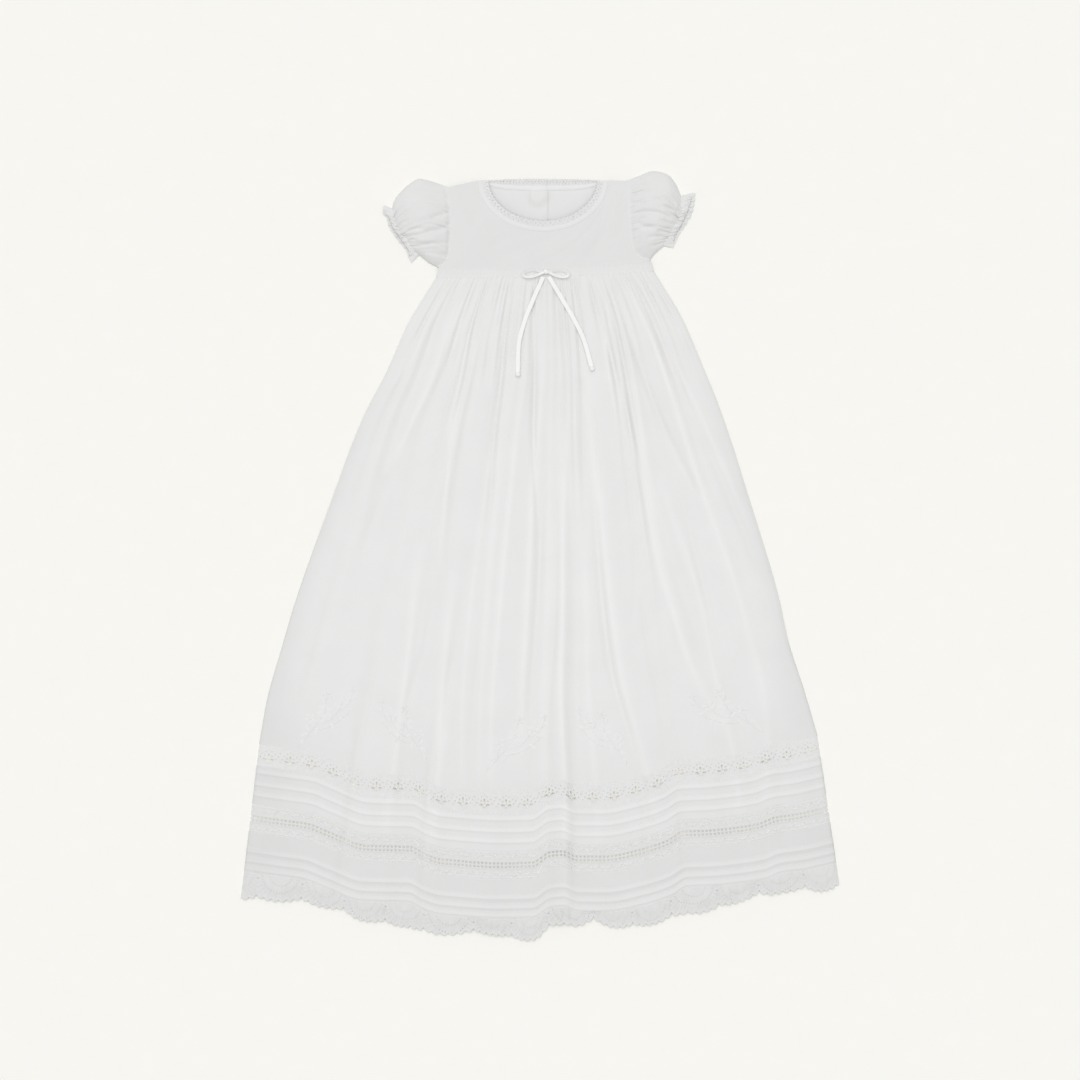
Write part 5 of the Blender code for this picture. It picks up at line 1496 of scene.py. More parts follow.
# %% [markdown]
# ## The bodice
# The front of the bodice is one plain piece. It is lofted over the folds of the back beneath it, and eases
# down towards the shoulders. A few soft creases start where the sleeves pull at it.

# %% Bodice front and waistband
YOKE_CREASES = table(
    "from to at_0 at_1 at_2 depth width",
    (0, 0.55, 0.055, 0.085, 0.14, -0.7, 7), (0.1, 0.75, 0.955, 0.925, 0.88, -0.7, 7),
    (0.35, 1, 0.06, 0.12, 0.15, 0.6, 9), (0.3, 1, 0.945, 0.9, 0.86, 0.6, 9),
    (0.2, 1, 0.3, 0.285, 0.29, -0.5, 10), (0.15, 1, 0.72, 0.73, 0.722, -0.5, 10),
    (0.3, 1, 0.5, 0.51, 0.505, 0.5, 14),
)
YOKE_WIDE, BAND_WIDE, YOKE_ROWS = 236.0, 252.0, 46
ROLL_RISE, ROLL_REACH, PUCKERS, PUCKER_HEIGHT = 0.5, 0.12, 48, 0.18


def plan_grid(plan, us, vs, height):
    """Grid of upper points on a plan, with a height that reads u, v, x and y."""
    u, v = np.meshgrid(us, vs)
    x, y = plan(u, v)
    return xyz(x, y, height(u, v, x, y))


def front_top(x, y):
    """Upper face of the front bodice, waistband and neck trims."""
    return bodice_height(x, y) + CLOTH


def yoke_top(u, v, x, y):
    """The bodice's cloth with a slow unevenness and its creases, both still at the seams."""
    soft = 0.25 * wander(u + 0.3 * v, (0.6, 0.4), (6.0, 11.0), (0.15, 0.55)) * np.sin(np.pi * v)
    rows = creases(YOKE_CREASES, u, v, YOKE_WIDE)
    return front_top(x, y) + soft + rows * np.sin(np.pi * np.clip(u, 0, 1)) ** 0.3 * ease((1 - v) / 0.15)


def waistband_plan(u, v):
    """The waistband's plan, right up to its two seams."""
    return patch(bodice_bottom, waist_line, *BAND_SIDES)(u, v)


def waist_line(u):
    """Lower seam of the waistband."""
    u = np.asarray(u, float)
    return np.array([WAIST_LEFT[0] + u * (WAIST_RIGHT[0] - WAIST_LEFT[0]), waist_y(u)])


BAND_SIDES = [straight(bodice_bottom(end), waist_line(end)) for end in (0.0, 1.0)]


def waistband_top(u, v, x, y):
    """A plain band with a rolled edge along each seam, down to the back at its side seams."""
    rolled = ROLL_RISE * (bell(v / ROLL_REACH) + bell((1 - v) / ROLL_REACH))
    drift = wander(u, (0.4, 0.3), (3.0, 7.0), (0.2, 0.7))
    pucker = PUCKER_HEIGHT * np.cos(TURN * (PUCKERS * u + drift)) * np.sin(np.pi * v)
    return front_top(x, y) + rolled + pucker - side_seam(np.minimum(u, 1 - u) * BAND_WIDE) * v


at_shoulders = steps(0, NECK_STARTS, 0.012), steps(NECK_ENDS, 1, 0.012)
yoke_shares = np.unique(np.r_[at_shoulders[0], steps(NECK_STARTS, NECK_ENDS, 0.0075), at_shoulders[1]])
front_plan = bodice_patch(FRONT_NECK_DEPTH, False)
yoke_grid = plan_grid(front_plan, yoke_shares, np.linspace(0, 1, YOKE_ROWS), yoke_top)
bodice_front = batiste_panel("bodice_front_cloth", "bodice_front", yoke_grid, layers=0.15)
band_grid = plan_grid(waistband_plan, np.linspace(0, 1, 240), np.linspace(0, 1, 13), waistband_top)
batiste_panel("waistband_cloth", "waistband_front", band_grid, layers=0.3)
print("bodice front:", len(bodice_front.data.polygons), "faces")

# %% [markdown]
# ## The back halves
# Seen through the neck, the back lies flat on the surface. Its left half laps over the right one and rises a
# little where it passes over the buttons. The facing along its edge is a second layer.

# %% Bodice back
BODICE_ENDS = LEFT_ARMHOLE["x"][-1], RIGHT_ARMHOLE["x"][-1]
LAP_SHARES = [(x - BODICE_ENDS[0]) / (BODICE_ENDS[1] - BODICE_ENDS[0]) for x in (LAP_LEFT, LAP_RIGHT)]


def left_back_top(u, v, x, y):
    """The lapped half, with one more layer of cloth, the facing, between the two edges of the lap."""
    inside = ease((u - LAP_SHARES[0]) / 0.004) * ease((LAP_SHARES[1] - u + 0.004) / 0.004)
    return lapped(x, y) + BACK_TOP + FACING * inside


def right_back_top(u, v, x, y):
    """The half beneath, which lies on the buttons."""
    return back_lift(x, y) + BACK_TOP


left_shares = np.unique(np.r_[steps(0, 0.36, 0.02), steps(0.36, LAP_SHARES[1], 0.004)])
right_shares = np.unique(np.r_[steps(LAP_SHARES[0], 0.56, 0.005), steps(0.56, 1, 0.02)])
back_plan = bodice_patch(BACK_NECK_DEPTH, True)
BACK_HALVES = (("left", left_shares, left_back_top), ("right", right_shares, right_back_top))
BACK_PARTS = (("bodice", back_plan, YOKE_ROWS, 0.35), ("waistband", waistband_plan, 6, 0.5))
for side, shares, top in BACK_HALVES:
    for part, plan, rows, layers in BACK_PARTS:
        grid = plan_grid(plan, shares, np.linspace(0, 1, rows), top)
        batiste_panel(f"{part}_back_{side}_cloth", f"{part}_back_{side}", grid, layers=layers)
print("the halves overlap by", round(LAP_SHARES[1] - LAP_SHARES[0], 3), "of the width")

# %% [markdown]
# ## The neck
# A narrow bias strip binds the neck, so its section is round. Gathered cotton lace lies inside it, with a
# small scalloped edge, an eyelet in every scallop and a dot between.

# %% Binding and neck lace
NECK_WAVES, NECK_ROWS, LACE_UNDER, BINDING_ROUND = 36, 12, 0.3, 0.75
# In order: scallops, their pitch, the strip's width, the edge and the arch as shares of it, the eyelet's
# size, and how far down the eyelet and the dot lie.
NECK_EDGING = NECK_WAVES, 6.0, 7.0, 0.84, 0.14, 0.62, 0.56, 0.26


def binding_round(v):
    """Half-round section of a bound edge: the root of a sine."""
    return BINDING_ROUND * np.sqrt(np.clip(np.sin(np.pi * v), 0, 1))


def edging_pattern(along, down, edging):
    """Thread of a gathered edging: small scallops at its free edge, an eyelet in each and a dot between."""
    waves, pitch, deep, level, arch, eyelet, eyelet_at, dot_at = edging
    wave = np.abs(np.mod(along * waves, 1.0) - 0.5)
    edge = level + arch * np.sqrt(np.clip(1 - (2 * wave) ** 2, 0, 1)) - down
    eyelets = eyelet - np.hypot(wave * pitch, (down - eyelet_at) * deep)
    dots = 0.5 - np.hypot((0.5 - wave) * pitch, (down - dot_at) * deep)
    thread = np.minimum(edge * deep, -np.maximum(eyelets, dots))
    thread[0] = np.maximum(thread[0], SEWN_EDGE)
    return thread


def neck_lace(name, strip, shares, height):
    """Gathered lace on a strip of the neck."""
    q, v = np.meshgrid(shares, np.linspace(0, 1, NECK_ROWS))

    def place(row, column):
        at_q = np.interp(column, np.arange(len(shares)), shares)
        at_v = row / (NECK_ROWS - 1)
        x, y = strip(at_q, at_v)
        drift = wander(at_q, (0.3, 0.2), (4.0, 9.0), (0.3, 0.8))
        wave = 0.6 * at_v * (1 - np.cos(TURN * (NECK_WAVES * at_q + drift)))
        return xyz(x, y, height(x, y) + wave)

    return lace(name, edging_pattern(q, v, NECK_EDGING), place, LACE, thick=FINE_LACE)


lap_q = [(x - NECK_X + NECK_HALF) / (2 * NECK_HALF) for x in (LAP_LEFT, LAP_RIGHT)]
FRONT_CURVE, BACK_CURVE = (FRONT_NECK_DEPTH, False, 0.0), (BACK_NECK_DEPTH, True, BACK_NECK_RISE)
NECK_PARTS = (
    ("front", FRONT_CURVE, (0.0, 1.0), front_top, 170, 361, 0.35),
    ("back_left", BACK_CURVE, (0.0, lap_q[1]), lambda x, y: lapped(x, y) + BACK_TOP, 90, 240, 0.5),
    ("back_right", BACK_CURVE, (lap_q[0], 1.0), lambda x, y: back_lift(x, y) + BACK_TOP, 90, 240, 0.5),
)
section = 0.5 + 0.5 * np.cos(np.pi * np.linspace(0, 1, 11))
neck_trims = {}
for part, (depth, flat, rise), ends, top, columns, lace_columns, layers in NECK_PARTS:
    strip = neck_strip(depth, flat, 0.0, BINDING, rise)
    qs = np.linspace(*ends, columns)
    grid = plan_grid(strip, qs, section, lambda q, v, x, y: top(x, y) + binding_round(v))
    name = "neck_binding_cloth" if part == "front" else f"neck_binding_{part}_cloth"
    bound = batiste_panel(name, f"neck_binding_{part}", grid, layers=layers)
    strip = neck_strip(depth, flat, BINDING - LACE_UNDER, BINDING + NECK_LACE, rise)
    edging = neck_lace(f"neck_lace_{part}_cloth", strip, np.linspace(*ends, lace_columns), top)
    neck_trims[part] = [bound, ride(edging, "lace", f"neck_lace_{part}")]
print("neck lace:", len(neck_trims["front"][1].data.polygons), "faces")

# %% [markdown]
# ## Puff sleeves
# A puff sleeve is a tube gathered at both ends, into the armhole and into an elastic cuff. Laid down, its
# underside goes flat and its upper side stands up in a dome. Its gathers run in from both ends and die out
# in the middle, each to its own length.

# %% Creases of the sleeves
SLEEVE_RISE = table("along height", (0, 5), (0.12, 9), (0.35, 14.5), (0.6, 15.5), (0.82, 11), (1, 5.5))
LEFT_SLEEVE_CREASES = table(
    "from to at_0 at_1 at_2 depth width",
    (0.1, 0.62, 0.15, 0.155, 0.09, -1.9, 3), (-0.06, 0.6, 0.17, 0.205, 0.135, -1.4, 3),
    (-0.06, 0.33, 0.31, 0.38, 0.49, -2.1, 2.8), (-0.06, 0.76, 0.44, 0.615, 0.655, -2.6, 3),
    (-0.06, 1.06, 0.67, 0.765, 0.8, -2.1, 2.6), (0.2, 0.74, 0.8, 0.822, 0.845, -1.5, 2.2),
    (-0.06, 0.72, 0.855, 0.862, 0.885, -1.8, 2.6), (0.46, 0.88, 0.58, 0.56, 0.545, -2, 2.6),
    (0.66, 1.06, 0.635, 0.628, 0.615, -1.6, 2), (0.72, 1.06, 0.7, 0.7, 0.71, -1.6, 2),
    (0.7, 1.06, 0.42, 0.4, 0.41, -1.5, 2.2), (0.66, 1.06, 0.3, 0.32, 0.31, -1.2, 2.6),
    (0.3, 0.62, 0.42, 0.44, 0.43, 1.2, 4.5), (0.28, 0.7, 0.71, 0.72, 0.725, 1.1, 3.5),
)
RIGHT_SLEEVE_CREASES = table(
    "from to at_0 at_1 at_2 depth width",
    (-0.06, 0.34, 0.205, 0.24, 0.285, -2, 2.6), (-0.06, 0.26, 0.335, 0.365, 0.405, -1.8, 2.4),
    (-0.06, 0.86, 0.47, 0.53, 0.535, -2.4, 2.8), (0.12, 0.58, 0.615, 0.7, 0.715, -2.2, 2.8),
    (0.38, 0.58, 0.36, 0.375, 0.39, -1.5, 2.4), (0.52, 0.86, 0.328, 0.315, 0.303, -2, 2.6),
    (0.52, 0.85, 0.442, 0.433, 0.423, -1.9, 2.4), (0.8, 1.06, 0.472, 0.46, 0.445, -1.5, 2),
    (0.82, 1.06, 0.688, 0.67, 0.65, -1.6, 2), (0.44, 0.9, 0.82, 0.82, 0.822, -1.9, 2.4),
    (0.48, 0.92, 0.918, 0.93, 0.945, -1.5, 2.2), (-0.06, 0.3, 0.125, 0.14, 0.165, -1.4, 2.4),
    (-0.06, 0.4, 0.555, 0.575, 0.6, -1.6, 2.4), (0.6, 1.06, 0.6, 0.61, 0.6, -1.9, 2.2),
    (0.64, 1.06, 0.745, 0.748, 0.74, -1.8, 2.2), (0.56, 0.9, 0.375, 0.372, 0.365, 1.5, 3),
    (0.3, 0.62, 0.62, 0.64, 0.64, 1.2, 4),
)
print("sleeve creases:", len(LEFT_SLEEVE_CREASES["from"]), "and", len(RIGHT_SLEEVE_CREASES["from"]))

# %% Sleeves
SLEEVE_WIDE, SLEEVE_ROUND, SLEEVE_EDGE, UPPER_PART = 95.0, 0.42, 2.4, 0.72
ARMHOLE_GATHERS, CUFF_GATHERS, ARMHOLE_WAVE, CUFF_WAVE = 13, 14, 1.9, 2.0
SLEEVE_STATIONS, SLEEVE_TURNS, SLEEVE_FLOOR, SLEEVE_CLEAR = 52, 190, 0.35, 0.05


def over_and_under(turn):
    """Share across the sleeve for a turn round it: over the top first, then back beneath, with round ends."""
    top = np.clip(turn / UPPER_PART, 0, 1)
    low = np.clip((turn - UPPER_PART) / (1 - UPPER_PART), 0, 1)
    over = turn < UPPER_PART
    return np.where(over, top, 1 - low), over


def sleeve_section(height, share, over, ripple):
    """Height of a sleeve over the surface: above, a dome to the power 0.42; below, flat but for its edges."""
    arch = np.abs(np.sin(np.pi * np.clip(share, 0, 1)))
    dome = height * arch**SLEEVE_ROUND + ripple * np.sqrt(arch)
    dome = np.maximum(dome, SLEEVE_EDGE * np.sqrt(arch + 0.02))
    return np.where(over, dome, 0.55 * (1 - arch**0.3))


def sleeve_ripple(s, q, seed, rows):
    """Gathers from the armhole and from the cuff, whose spacing drifts, and the sleeve's own creases."""
    drift = wander(q, (0.35, 0.25, 0.12), (2.3, 5.1, 9.7), (seed, seed + 0.4, seed + 0.7))
    long = 1 + wander(q, (0.4, 0.3), (3.7, 8.9), (seed + 0.2, seed + 0.6))
    size = 1 + wander(q, (0.3, 0.2), (4.9, 11.3), (seed + 0.5, seed + 0.1))
    armhole = ARMHOLE_WAVE * np.maximum(1 - s / (0.34 * long), 0) ** 1.2 * size
    cuff = CUFF_WAVE * np.maximum(1 - (1 - s) / (0.36 * long), 0) ** 1.2 * size
    first = rounded_wave(ARMHOLE_GATHERS * q + drift, 0.7) - 0.45
    second = rounded_wave(CUFF_GATHERS * q - drift, 0.7) - 0.45
    return armhole * first + cuff * second + creases(rows, q, s, SLEEVE_WIDE)


def sleeve_height(s, q, over, seed, rows):
    """The dome with its ripple."""
    return sleeve_section(read(SLEEVE_RISE, "height", s), q, over, sleeve_ripple(s, q, seed, rows))


def inwards(outer, depth):
    """How far to move a tube's points in: its own normal, the cross product of its two directions."""
    around = np.roll(outer, -1, axis=1) - np.roll(outer, 1, axis=1)
    return unit(np.cross(np.gradient(outer, axis=0), around)) * depth


def open_tube(rows, around, way):
    """Faces of a tube of cloth, open at both ends: an outer wall, an inner one and a rim at each mouth. Seen
    along the rows it runs round clockwise where way is 1, so there every face is turned over."""
    count = rows * around
    walls = tube_faces(rows, around)[0]
    ring = np.arange(around)
    following = np.roll(ring, -1)
    rim = np.stack([ring, ring + count, following + count, following], axis=-1)
    return np.concatenate([walls, walls[:, ::-1] + count, rim[:, ::-1], rim + count - around])[:, ::-way]


def make_sleeve(side, way, seams, rows, seed):
    """Sleeve from its four seam lines. way is 1 where stations run to the right, and -1 to the left. At the
    armhole its upper side starts at the height of the bodice's cloth."""
    armhole, cuff, top, low = seams
    stations = 0.5 - 0.5 * np.cos(np.pi * np.linspace(0, 1, SLEEVE_STATIONS))
    s, turn = np.meshgrid(stations, np.arange(SLEEVE_TURNS) / SLEEVE_TURNS, indexing="ij")
    q, over = over_and_under(turn)
    x, y = patch(top, low, armhole, cuff)(s, q)
    z = sleeve_height(s, q, over, seed, rows)
    seam = front_top(x, y)
    z = np.where(over, seam + (z - seam) * ease(s / 0.10), z)
    outer = xyz(x, y, z + SLEEVE_CLEAR)
    inner = outer + inwards(outer, way * THIN)
    inner[..., 2] = np.maximum(inner[..., 2], SLEEVE_FLOOR)
    uvs = both_sides(np.stack([s * 70.0, turn * 210.0], axis=-1).reshape(-1, 2))
    points = np.concatenate([outer.reshape(-1, 3), inner.reshape(-1, 3)])
    faces = open_tube(SLEEVE_STATIONS, SLEEVE_TURNS, way)
    marks = {"layers": np.full(len(points), 0.18)}
    made = add_mesh(f"sleeve_{side}_cloth", points, faces, BATISTE, uvs, marks)
    return ride(made, "batiste", f"sleeve_{side}")


# %% [markdown]
# ## Frills
# Beyond the elastic the sleeve ends in gathered lace. It is drawn back above, so that one looks into the
# mouth of the sleeve and on to its lower side.

# %% Frills of the cuffs
FRILL_WAVES, FRILL_WAVE, FRILL_ROWS, FRILL_TURNS, FRILL_FLOOR = 10, 3.2, 18, 273, 0.36
UPPER_SHORTER, UPPER_SWAY = 0.48, 1.1
FRILL_EDGING = 34, 6.4, 13.0, 0.88, 0.11, 0.6, 0.74, 0.5


def make_frill(side, way, cuff, edge, rows, seed):
    """Gathered lace round the cuff's mouth: its waves grow from the elastic to the free edge."""
    ends = straight(cuff(0.0), edge(0.0)), straight(cuff(1.0), edge(1.0))
    plan = patch(*ends, cuff, edge)
    s, turn = np.meshgrid(np.linspace(0, 1, FRILL_ROWS), np.linspace(0, 1, FRILL_TURNS), indexing="ij")

    def place(row, column):
        at_s = row / (FRILL_ROWS - 1)
        q, over = over_and_under(np.mod(-way * (column / (FRILL_TURNS - 1)), 1.0))
        arch = np.abs(np.sin(np.pi * np.clip(q, 0, 1)))
        drift = wander(q, (0.3, 0.2), (3.1, 7.3), (seed, seed + 0.5))
        size = FRILL_WAVE * at_s * (1 + wander(q, (0.25, 0.2), (4.3, 9.1), (seed + 0.3, seed + 0.9)))
        ripple = size * (rounded_wave(FRILL_WAVES * q + drift) - 0.45)
        loose = ease(at_s / 0.35)
        start = sleeve_height(np.ones_like(q), q, over, seed, rows)
        z = sleeve_section(SLEEVE_RISE["height"][-1] - 2.2 * at_s, q, over, 0.7 * ripple)
        z = start * (1 - loose) + z * loose
        z = np.where(over, z, z + 0.6 * at_s * (1 - np.cos(TURN * FRILL_WAVES * q)))
        drawn = 1 - np.where(over, UPPER_SHORTER * arch**0.6, 0.0)
        sway = UPPER_SWAY * at_s * np.sin(TURN * (FRILL_WAVES * q + drift)) * arch
        x, y = plan(at_s * drawn, q)
        return xyz(x + 0.7 * way * sway, y + sway, np.maximum(z, FRILL_FLOOR) + SLEEVE_CLEAR)

    def uvs(row, column):
        return np.stack([row / FRILL_ROWS * 14.0, column / FRILL_TURNS * 150.0], axis=-1)

    thread = edging_pattern(turn, s, FRILL_EDGING)
    made = lace(f"cuff_frill_{side}_lace", thread, place, LACE, thick=FINE_LACE, uvs=uvs)
    return ride(made, "lace", f"cuff_frill_{side}")


LEFT_SEAMS = LEFT_ARMHOLE, LEFT_CUFF, LEFT_SLEEVE_TOP, LEFT_SLEEVE_LOW, LEFT_FRILL_EDGE
RIGHT_SEAMS = RIGHT_ARMHOLE, RIGHT_CUFF, RIGHT_SLEEVE_TOP, RIGHT_SLEEVE_LOW, RIGHT_FRILL_EDGE
SIDES = (
    ("left", -1, LEFT_SEAMS, LEFT_SLEEVE_CREASES, 0.1),
    ("right", 1, RIGHT_SEAMS, RIGHT_SLEEVE_CREASES, 0.6),
)
for side, way, seams, crease_rows, seed in SIDES:
    *seams, frill_edge = [line_of(rows) for rows in seams]
    sleeve = make_sleeve(side, way, seams, crease_rows, seed)
    frill = make_frill(side, way, seams[1], frill_edge, crease_rows, seed)
    print(side, "sleeve:", len(sleeve.data.polygons), "faces; frill:", len(frill.data.polygons), "faces")

# %% [markdown]
# ## Buttons
# Three pearl buttons close the back. Each is turned: a rim, a hollow with four holes, and a flat underside.
# They are beneath the gown, between the back and the surface, with their faces down.

# %% Buttons
BUTTON_PROFILE = table(
    "radius height",
    (0, 1.25), (1.2, 1.25), (2.2, 1.3), (2.9, 1.75), (3.5, 2), (4.1, 1.85), (4.45, 1.3), (4.45, 0.75),
    (4.1, 0.2), (3.2, 0), (0, 0),
)
BUTTON_RINGS, RING_POINTS = 26, 36
HOLE_AWAY, HOLE_SIZE, HOLE_DEEP = 0.95, 0.42, 0.9


def make_button(number, x, y):
    """Turned disc: its profile swept round its middle, with four bell-shaped pits for the holes."""
    along = np.linspace(0, 1, len(BUTTON_PROFILE["radius"]))
    at = np.linspace(0, 1, BUTTON_RINGS)
    radius = np.interp(at, along, BUTTON_PROFILE["radius"]) + 0.02
    height = np.interp(at, along, BUTTON_PROFILE["height"])
    turn = TURN * np.arange(RING_POINTS) / RING_POINTS
    px, py = radius[:, None] * np.cos(turn), radius[:, None] * np.sin(turn)
    corners = [(sx * HOLE_AWAY, sy * HOLE_AWAY) for sx in (-1, 1) for sy in (-1, 1)]
    pits = sum(np.exp(-(((px - cx) ** 2 + (py - cy) ** 2) / HOLE_SIZE**2)) for cx, cy in corners)
    z = height[:, None] - HOLE_DEEP * pits * (at[:, None] < 0.5)
    points = xyz(x + px, y - py, BUTTON_THICK - z).reshape(-1, 3)
    faces = closed_tube(BUTTON_RINGS, RING_POINTS)
    made = add_mesh(f"button_{number}_pearl", points, faces, PEARL)
    return ride(made, "button", f"button_{number}")


for number, y in enumerate(BUTTON_YS, 1):
    button = make_button(number, BUTTON_X, y)
print("button:", len(button.data.polygons), "faces")

# %% [markdown]
# ## The ribbon bow
# A small bow of satin ribbon sits on the waistband's middle. Each loop is ribbon on its edge, leaning
# outwards. The knot is ribbon wrapped round, so its surface has soft ridges. The two tails lie on the
# gathers, and each ends in an overhand knot.

# %% Ribbon and knots
RIBBON_CLOTH, RIBBON_SIDES = 0.6, 14
KNOT_RINGS, KNOT_FLAT = 24, 0.75


def make_ribbon(name, path, across):
    """Ribbon along a path: its width lies along the across directions, with slightly thicker edges."""
    across = across / np.linalg.norm(across, axis=1)[:, None]
    out = np.cross(np.gradient(path, axis=0), across)
    out /= np.linalg.norm(out, axis=1)[:, None]
    ring = np.linspace(0, TURN, RIBBON_SIDES, endpoint=False)
    a, b = np.cos(ring), np.sin(ring)
    a, b = np.sign(a) * np.abs(a) ** 0.5, np.sign(b) * np.abs(b) ** 0.8
    aside, thick = a * RIBBON_WIDE / 2, RIBBON_CLOTH * (0.75 + 0.5 * np.abs(a) ** 6)
    points = path[:, None] + across[:, None] * aside[:, None] + out[:, None] * (b * thick / 2)[:, None]
    far = np.r_[0, np.cumsum(step_lengths(path))]
    uvs = np.stack(np.broadcast_arrays(aside, far[:, None]), axis=-1).reshape(-1, 2)
    return add_mesh(name, points.reshape(-1, 3), closed_tube(len(path), RIBBON_SIDES, -1), SATIN, uvs)


def make_knot(name, place, stretch=1.0, lobes=3):
    """Tied knot: a ball pressed flat, whose radius swells in ridges that wind round it."""
    polar = np.linspace(0.06, np.pi - 0.06, KNOT_RINGS)[:, None]
    turn = TURN * np.arange(RING_POINTS) / RING_POINTS
    size = KNOT_RADIUS * (0.93 + 0.09 * np.cos(lobes * turn + 3 * np.cos(polar)) * np.sin(polar))
    x = size * np.sin(polar) * np.cos(turn) * stretch
    z = size * np.sin(polar) * np.sin(turn) * KNOT_FLAT
    points = xyz(x, size * np.cos(polar), z).reshape(-1, 3) + place
    faces = closed_tube(KNOT_RINGS, RING_POINTS, -1)
    return add_mesh(name, points, faces, SATIN, points[:, [1, 0]])


def resample(path, count):
    """Smooth curve through a path's points: each coordinate is a table over the length so far."""
    far = np.r_[0, np.cumsum(step_lengths(path))]
    at = np.linspace(0, far[-1], count)
    return np.stack([smooth(far, path[:, k], at) for k in range(3)], axis=-1)


# %% Bow, tails and knots
BOW_X, BOW_LOOP, BOW_LOOP_HALF, BOW_LOOP_OPEN, BOW_LOOP_DROOP = 7.0, 25.0, 5.0, 0.10, 0.12
BOW_KNOT_WIDE, BOW_LOOP_RAISED, BOW_TILT = 1.15, 0.6, math.radians(40)
bow_y = float((waist_y(0.5) + bodice_bottom(0.5)[1]) / 2)
bow_top = float(front_top(np.array(BOW_X), np.array(bow_y)))
bow_knot = make_knot("bow_knot_satin", (BOW_X, bow_y, bow_top + GAP + KNOT_RADIUS), BOW_KNOT_WIDE, 4)
ride(bow_knot, "ribbon", "bow_knot")
loop_z = bow_top + GAP + BOW_LOOP_RAISED + RIBBON_WIDE / 2 * math.cos(BOW_TILT) + RIBBON_THICK / 2
turn = np.linspace(BOW_LOOP_OPEN, TURN - BOW_LOOP_OPEN, 90)
far = (1 - np.cos(turn)) / 2
half = BOW_LOOP_HALF * np.sin(turn) * np.sqrt(far)
reach = KNOT_RADIUS * BOW_KNOT_WIDE - 1.6 + RIBBON_THICK + (BOW_LOOP - KNOT_RADIUS + 1.2) * far
loops = {}
for side, out in (("left", -1), ("right", 1)):
    path = np.c_[BOW_X + out * reach, bow_y + half - BOW_LOOP_DROOP * reach, loop_z + 0 * turn]
    along = np.gradient(path, axis=0)
    outward = np.c_[along[:, 1], -along[:, 0], 0 * turn]
    outward = outward / np.linalg.norm(outward, axis=1)[:, None] * -out
    across = outward * math.sin(BOW_TILT) + (0, 0, math.cos(BOW_TILT))
    loops[side] = ride(make_ribbon(f"bow_loop_{side}_satin", path, across), "ribbon", f"bow_loop_{side}")

bow_parts = {"left": [bow_knot, loops["left"]], "right": [loops["right"]]}
for side, route in ROUTES.items():
    path = resample(route, 80)
    path[:, 2] -= (RIBBON_THICK - RIBBON_CLOTH) / 2
    along = np.gradient(path, axis=0)
    across = np.c_[along[:, 1], -along[:, 0], np.zeros(len(path))]
    tail = make_ribbon(f"ribbon_tail_{side}_satin", path, across)
    onward = along[-1] / np.linalg.norm(along[-1])
    knot_place = route[-1] + onward * (KNOT_RADIUS + GAP - 1.0) + (0, 0, KNOT_RAISED)
    knot = make_knot(f"ribbon_knot_{side}_satin", knot_place)
    ride(tail, "ribbon", f"ribbon_tail_{side}")
    ride(knot, "ribbon", f"ribbon_knot_{side}")
    line = (path - MIDDLE) * MM
    length = float(step_lengths(line).sum())
    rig.cord(
        tail,
        exit=line[0].tolist(),
        length=length,
        diameter=RIBBON_WIDE * MM,
        far_end="knot",
        stiffness="limp",
        lay="loose",
        path=line.tolist(),
        with_pieces=[knot, *bow_parts[side]],
    )
    print(side, "tail:", round(length / MM, 1), "mm")

# %% [markdown]
# ## Stitching
# Fine running stitches hold the tucks and every seam. One stitch is a short thread that rises from the
# cloth, runs 2 mm and dips again. Their lengths and spacing waver slightly, as on a real machine seam.

# %% Stitches
STITCH_PITCH, STITCH_RADIUS = 3.1, 0.2
STITCH_SHARE = np.array([-0.34, -0.12, 0.12, 0.34])
STITCH_RISE = np.array([-0.05, 0.16, 0.16, -0.05])
BAND_SEAMS = (-1.6, 1.2, 23.6, 26.0, 70.2, 100.2, 102.8, 149.4)
WAIST_SEAMS, WAIST_LONG, NECK_LONG, BESIDE_NECK = (0.17, 0.83), 250, 205, -1.3
dice = np.random.default_rng(7)


def stitches_along(line, length):
    """Paths of stitches along a line, which gives points in millimetres for shares of its length."""
    count = int(length / STITCH_PITCH)
    middle = (np.arange(count) + 0.5 + dice.uniform(-0.06, 0.06, count)) / count
    shares = middle[:, None] + STITCH_SHARE * dice.uniform(0.9, 1.08, count)[:, None] / count
    paths = line(np.clip(shares, 0, 1))
    paths[..., 2] += STITCH_RISE
    return paths


def hem_line_at(mm, above=0.0):
    """Line along the hem, so many millimetres below the insertion seam."""
    return lambda share: on_front(share, mm, above)


def on_plan_line(plan, v):
    """Line across a plan at v, at the height of the front's cloth."""

    def at(share):
        x, y = plan(share, np.full(np.shape(share), v))
        return xyz(x, y, front_top(x, y))

    return at


around_neck = neck_strip(FRONT_NECK_DEPTH, False, BESIDE_NECK, BINDING)
lines = [(hem_line_at(edge - TUCK_WIDTH - 0.1), HEM_WIDE) for edge in TUCK_EDGES_UPPER + TUCK_EDGES_LOWER]
lines += [(hem_line_at(mm, 0.05), HEM_WIDE) for mm in BAND_SEAMS]
lines += [(on_plan_line(waistband_plan, v), WAIST_LONG) for v in WAIST_SEAMS]
lines += [(on_plan_line(around_neck, 0.0), NECK_LONG)]
stitched = np.concatenate([stitches_along(*line) for line in lines])
stitches = ride(thread_piece("seam_stitches", stitched, STITCH_RADIUS, 3), "batiste")
print("stitches:", len(stitched))

# %% [markdown]
# ## White embroidery
# Five sprays of flowers are worked in white above the insertion. Every petal and leaf is satin stitch: a
# pointed oval that stands up slightly. Stems are stem stitch, a raised line. All sprays share one drawing,
# and each is turned, mirrored and sized a little differently.

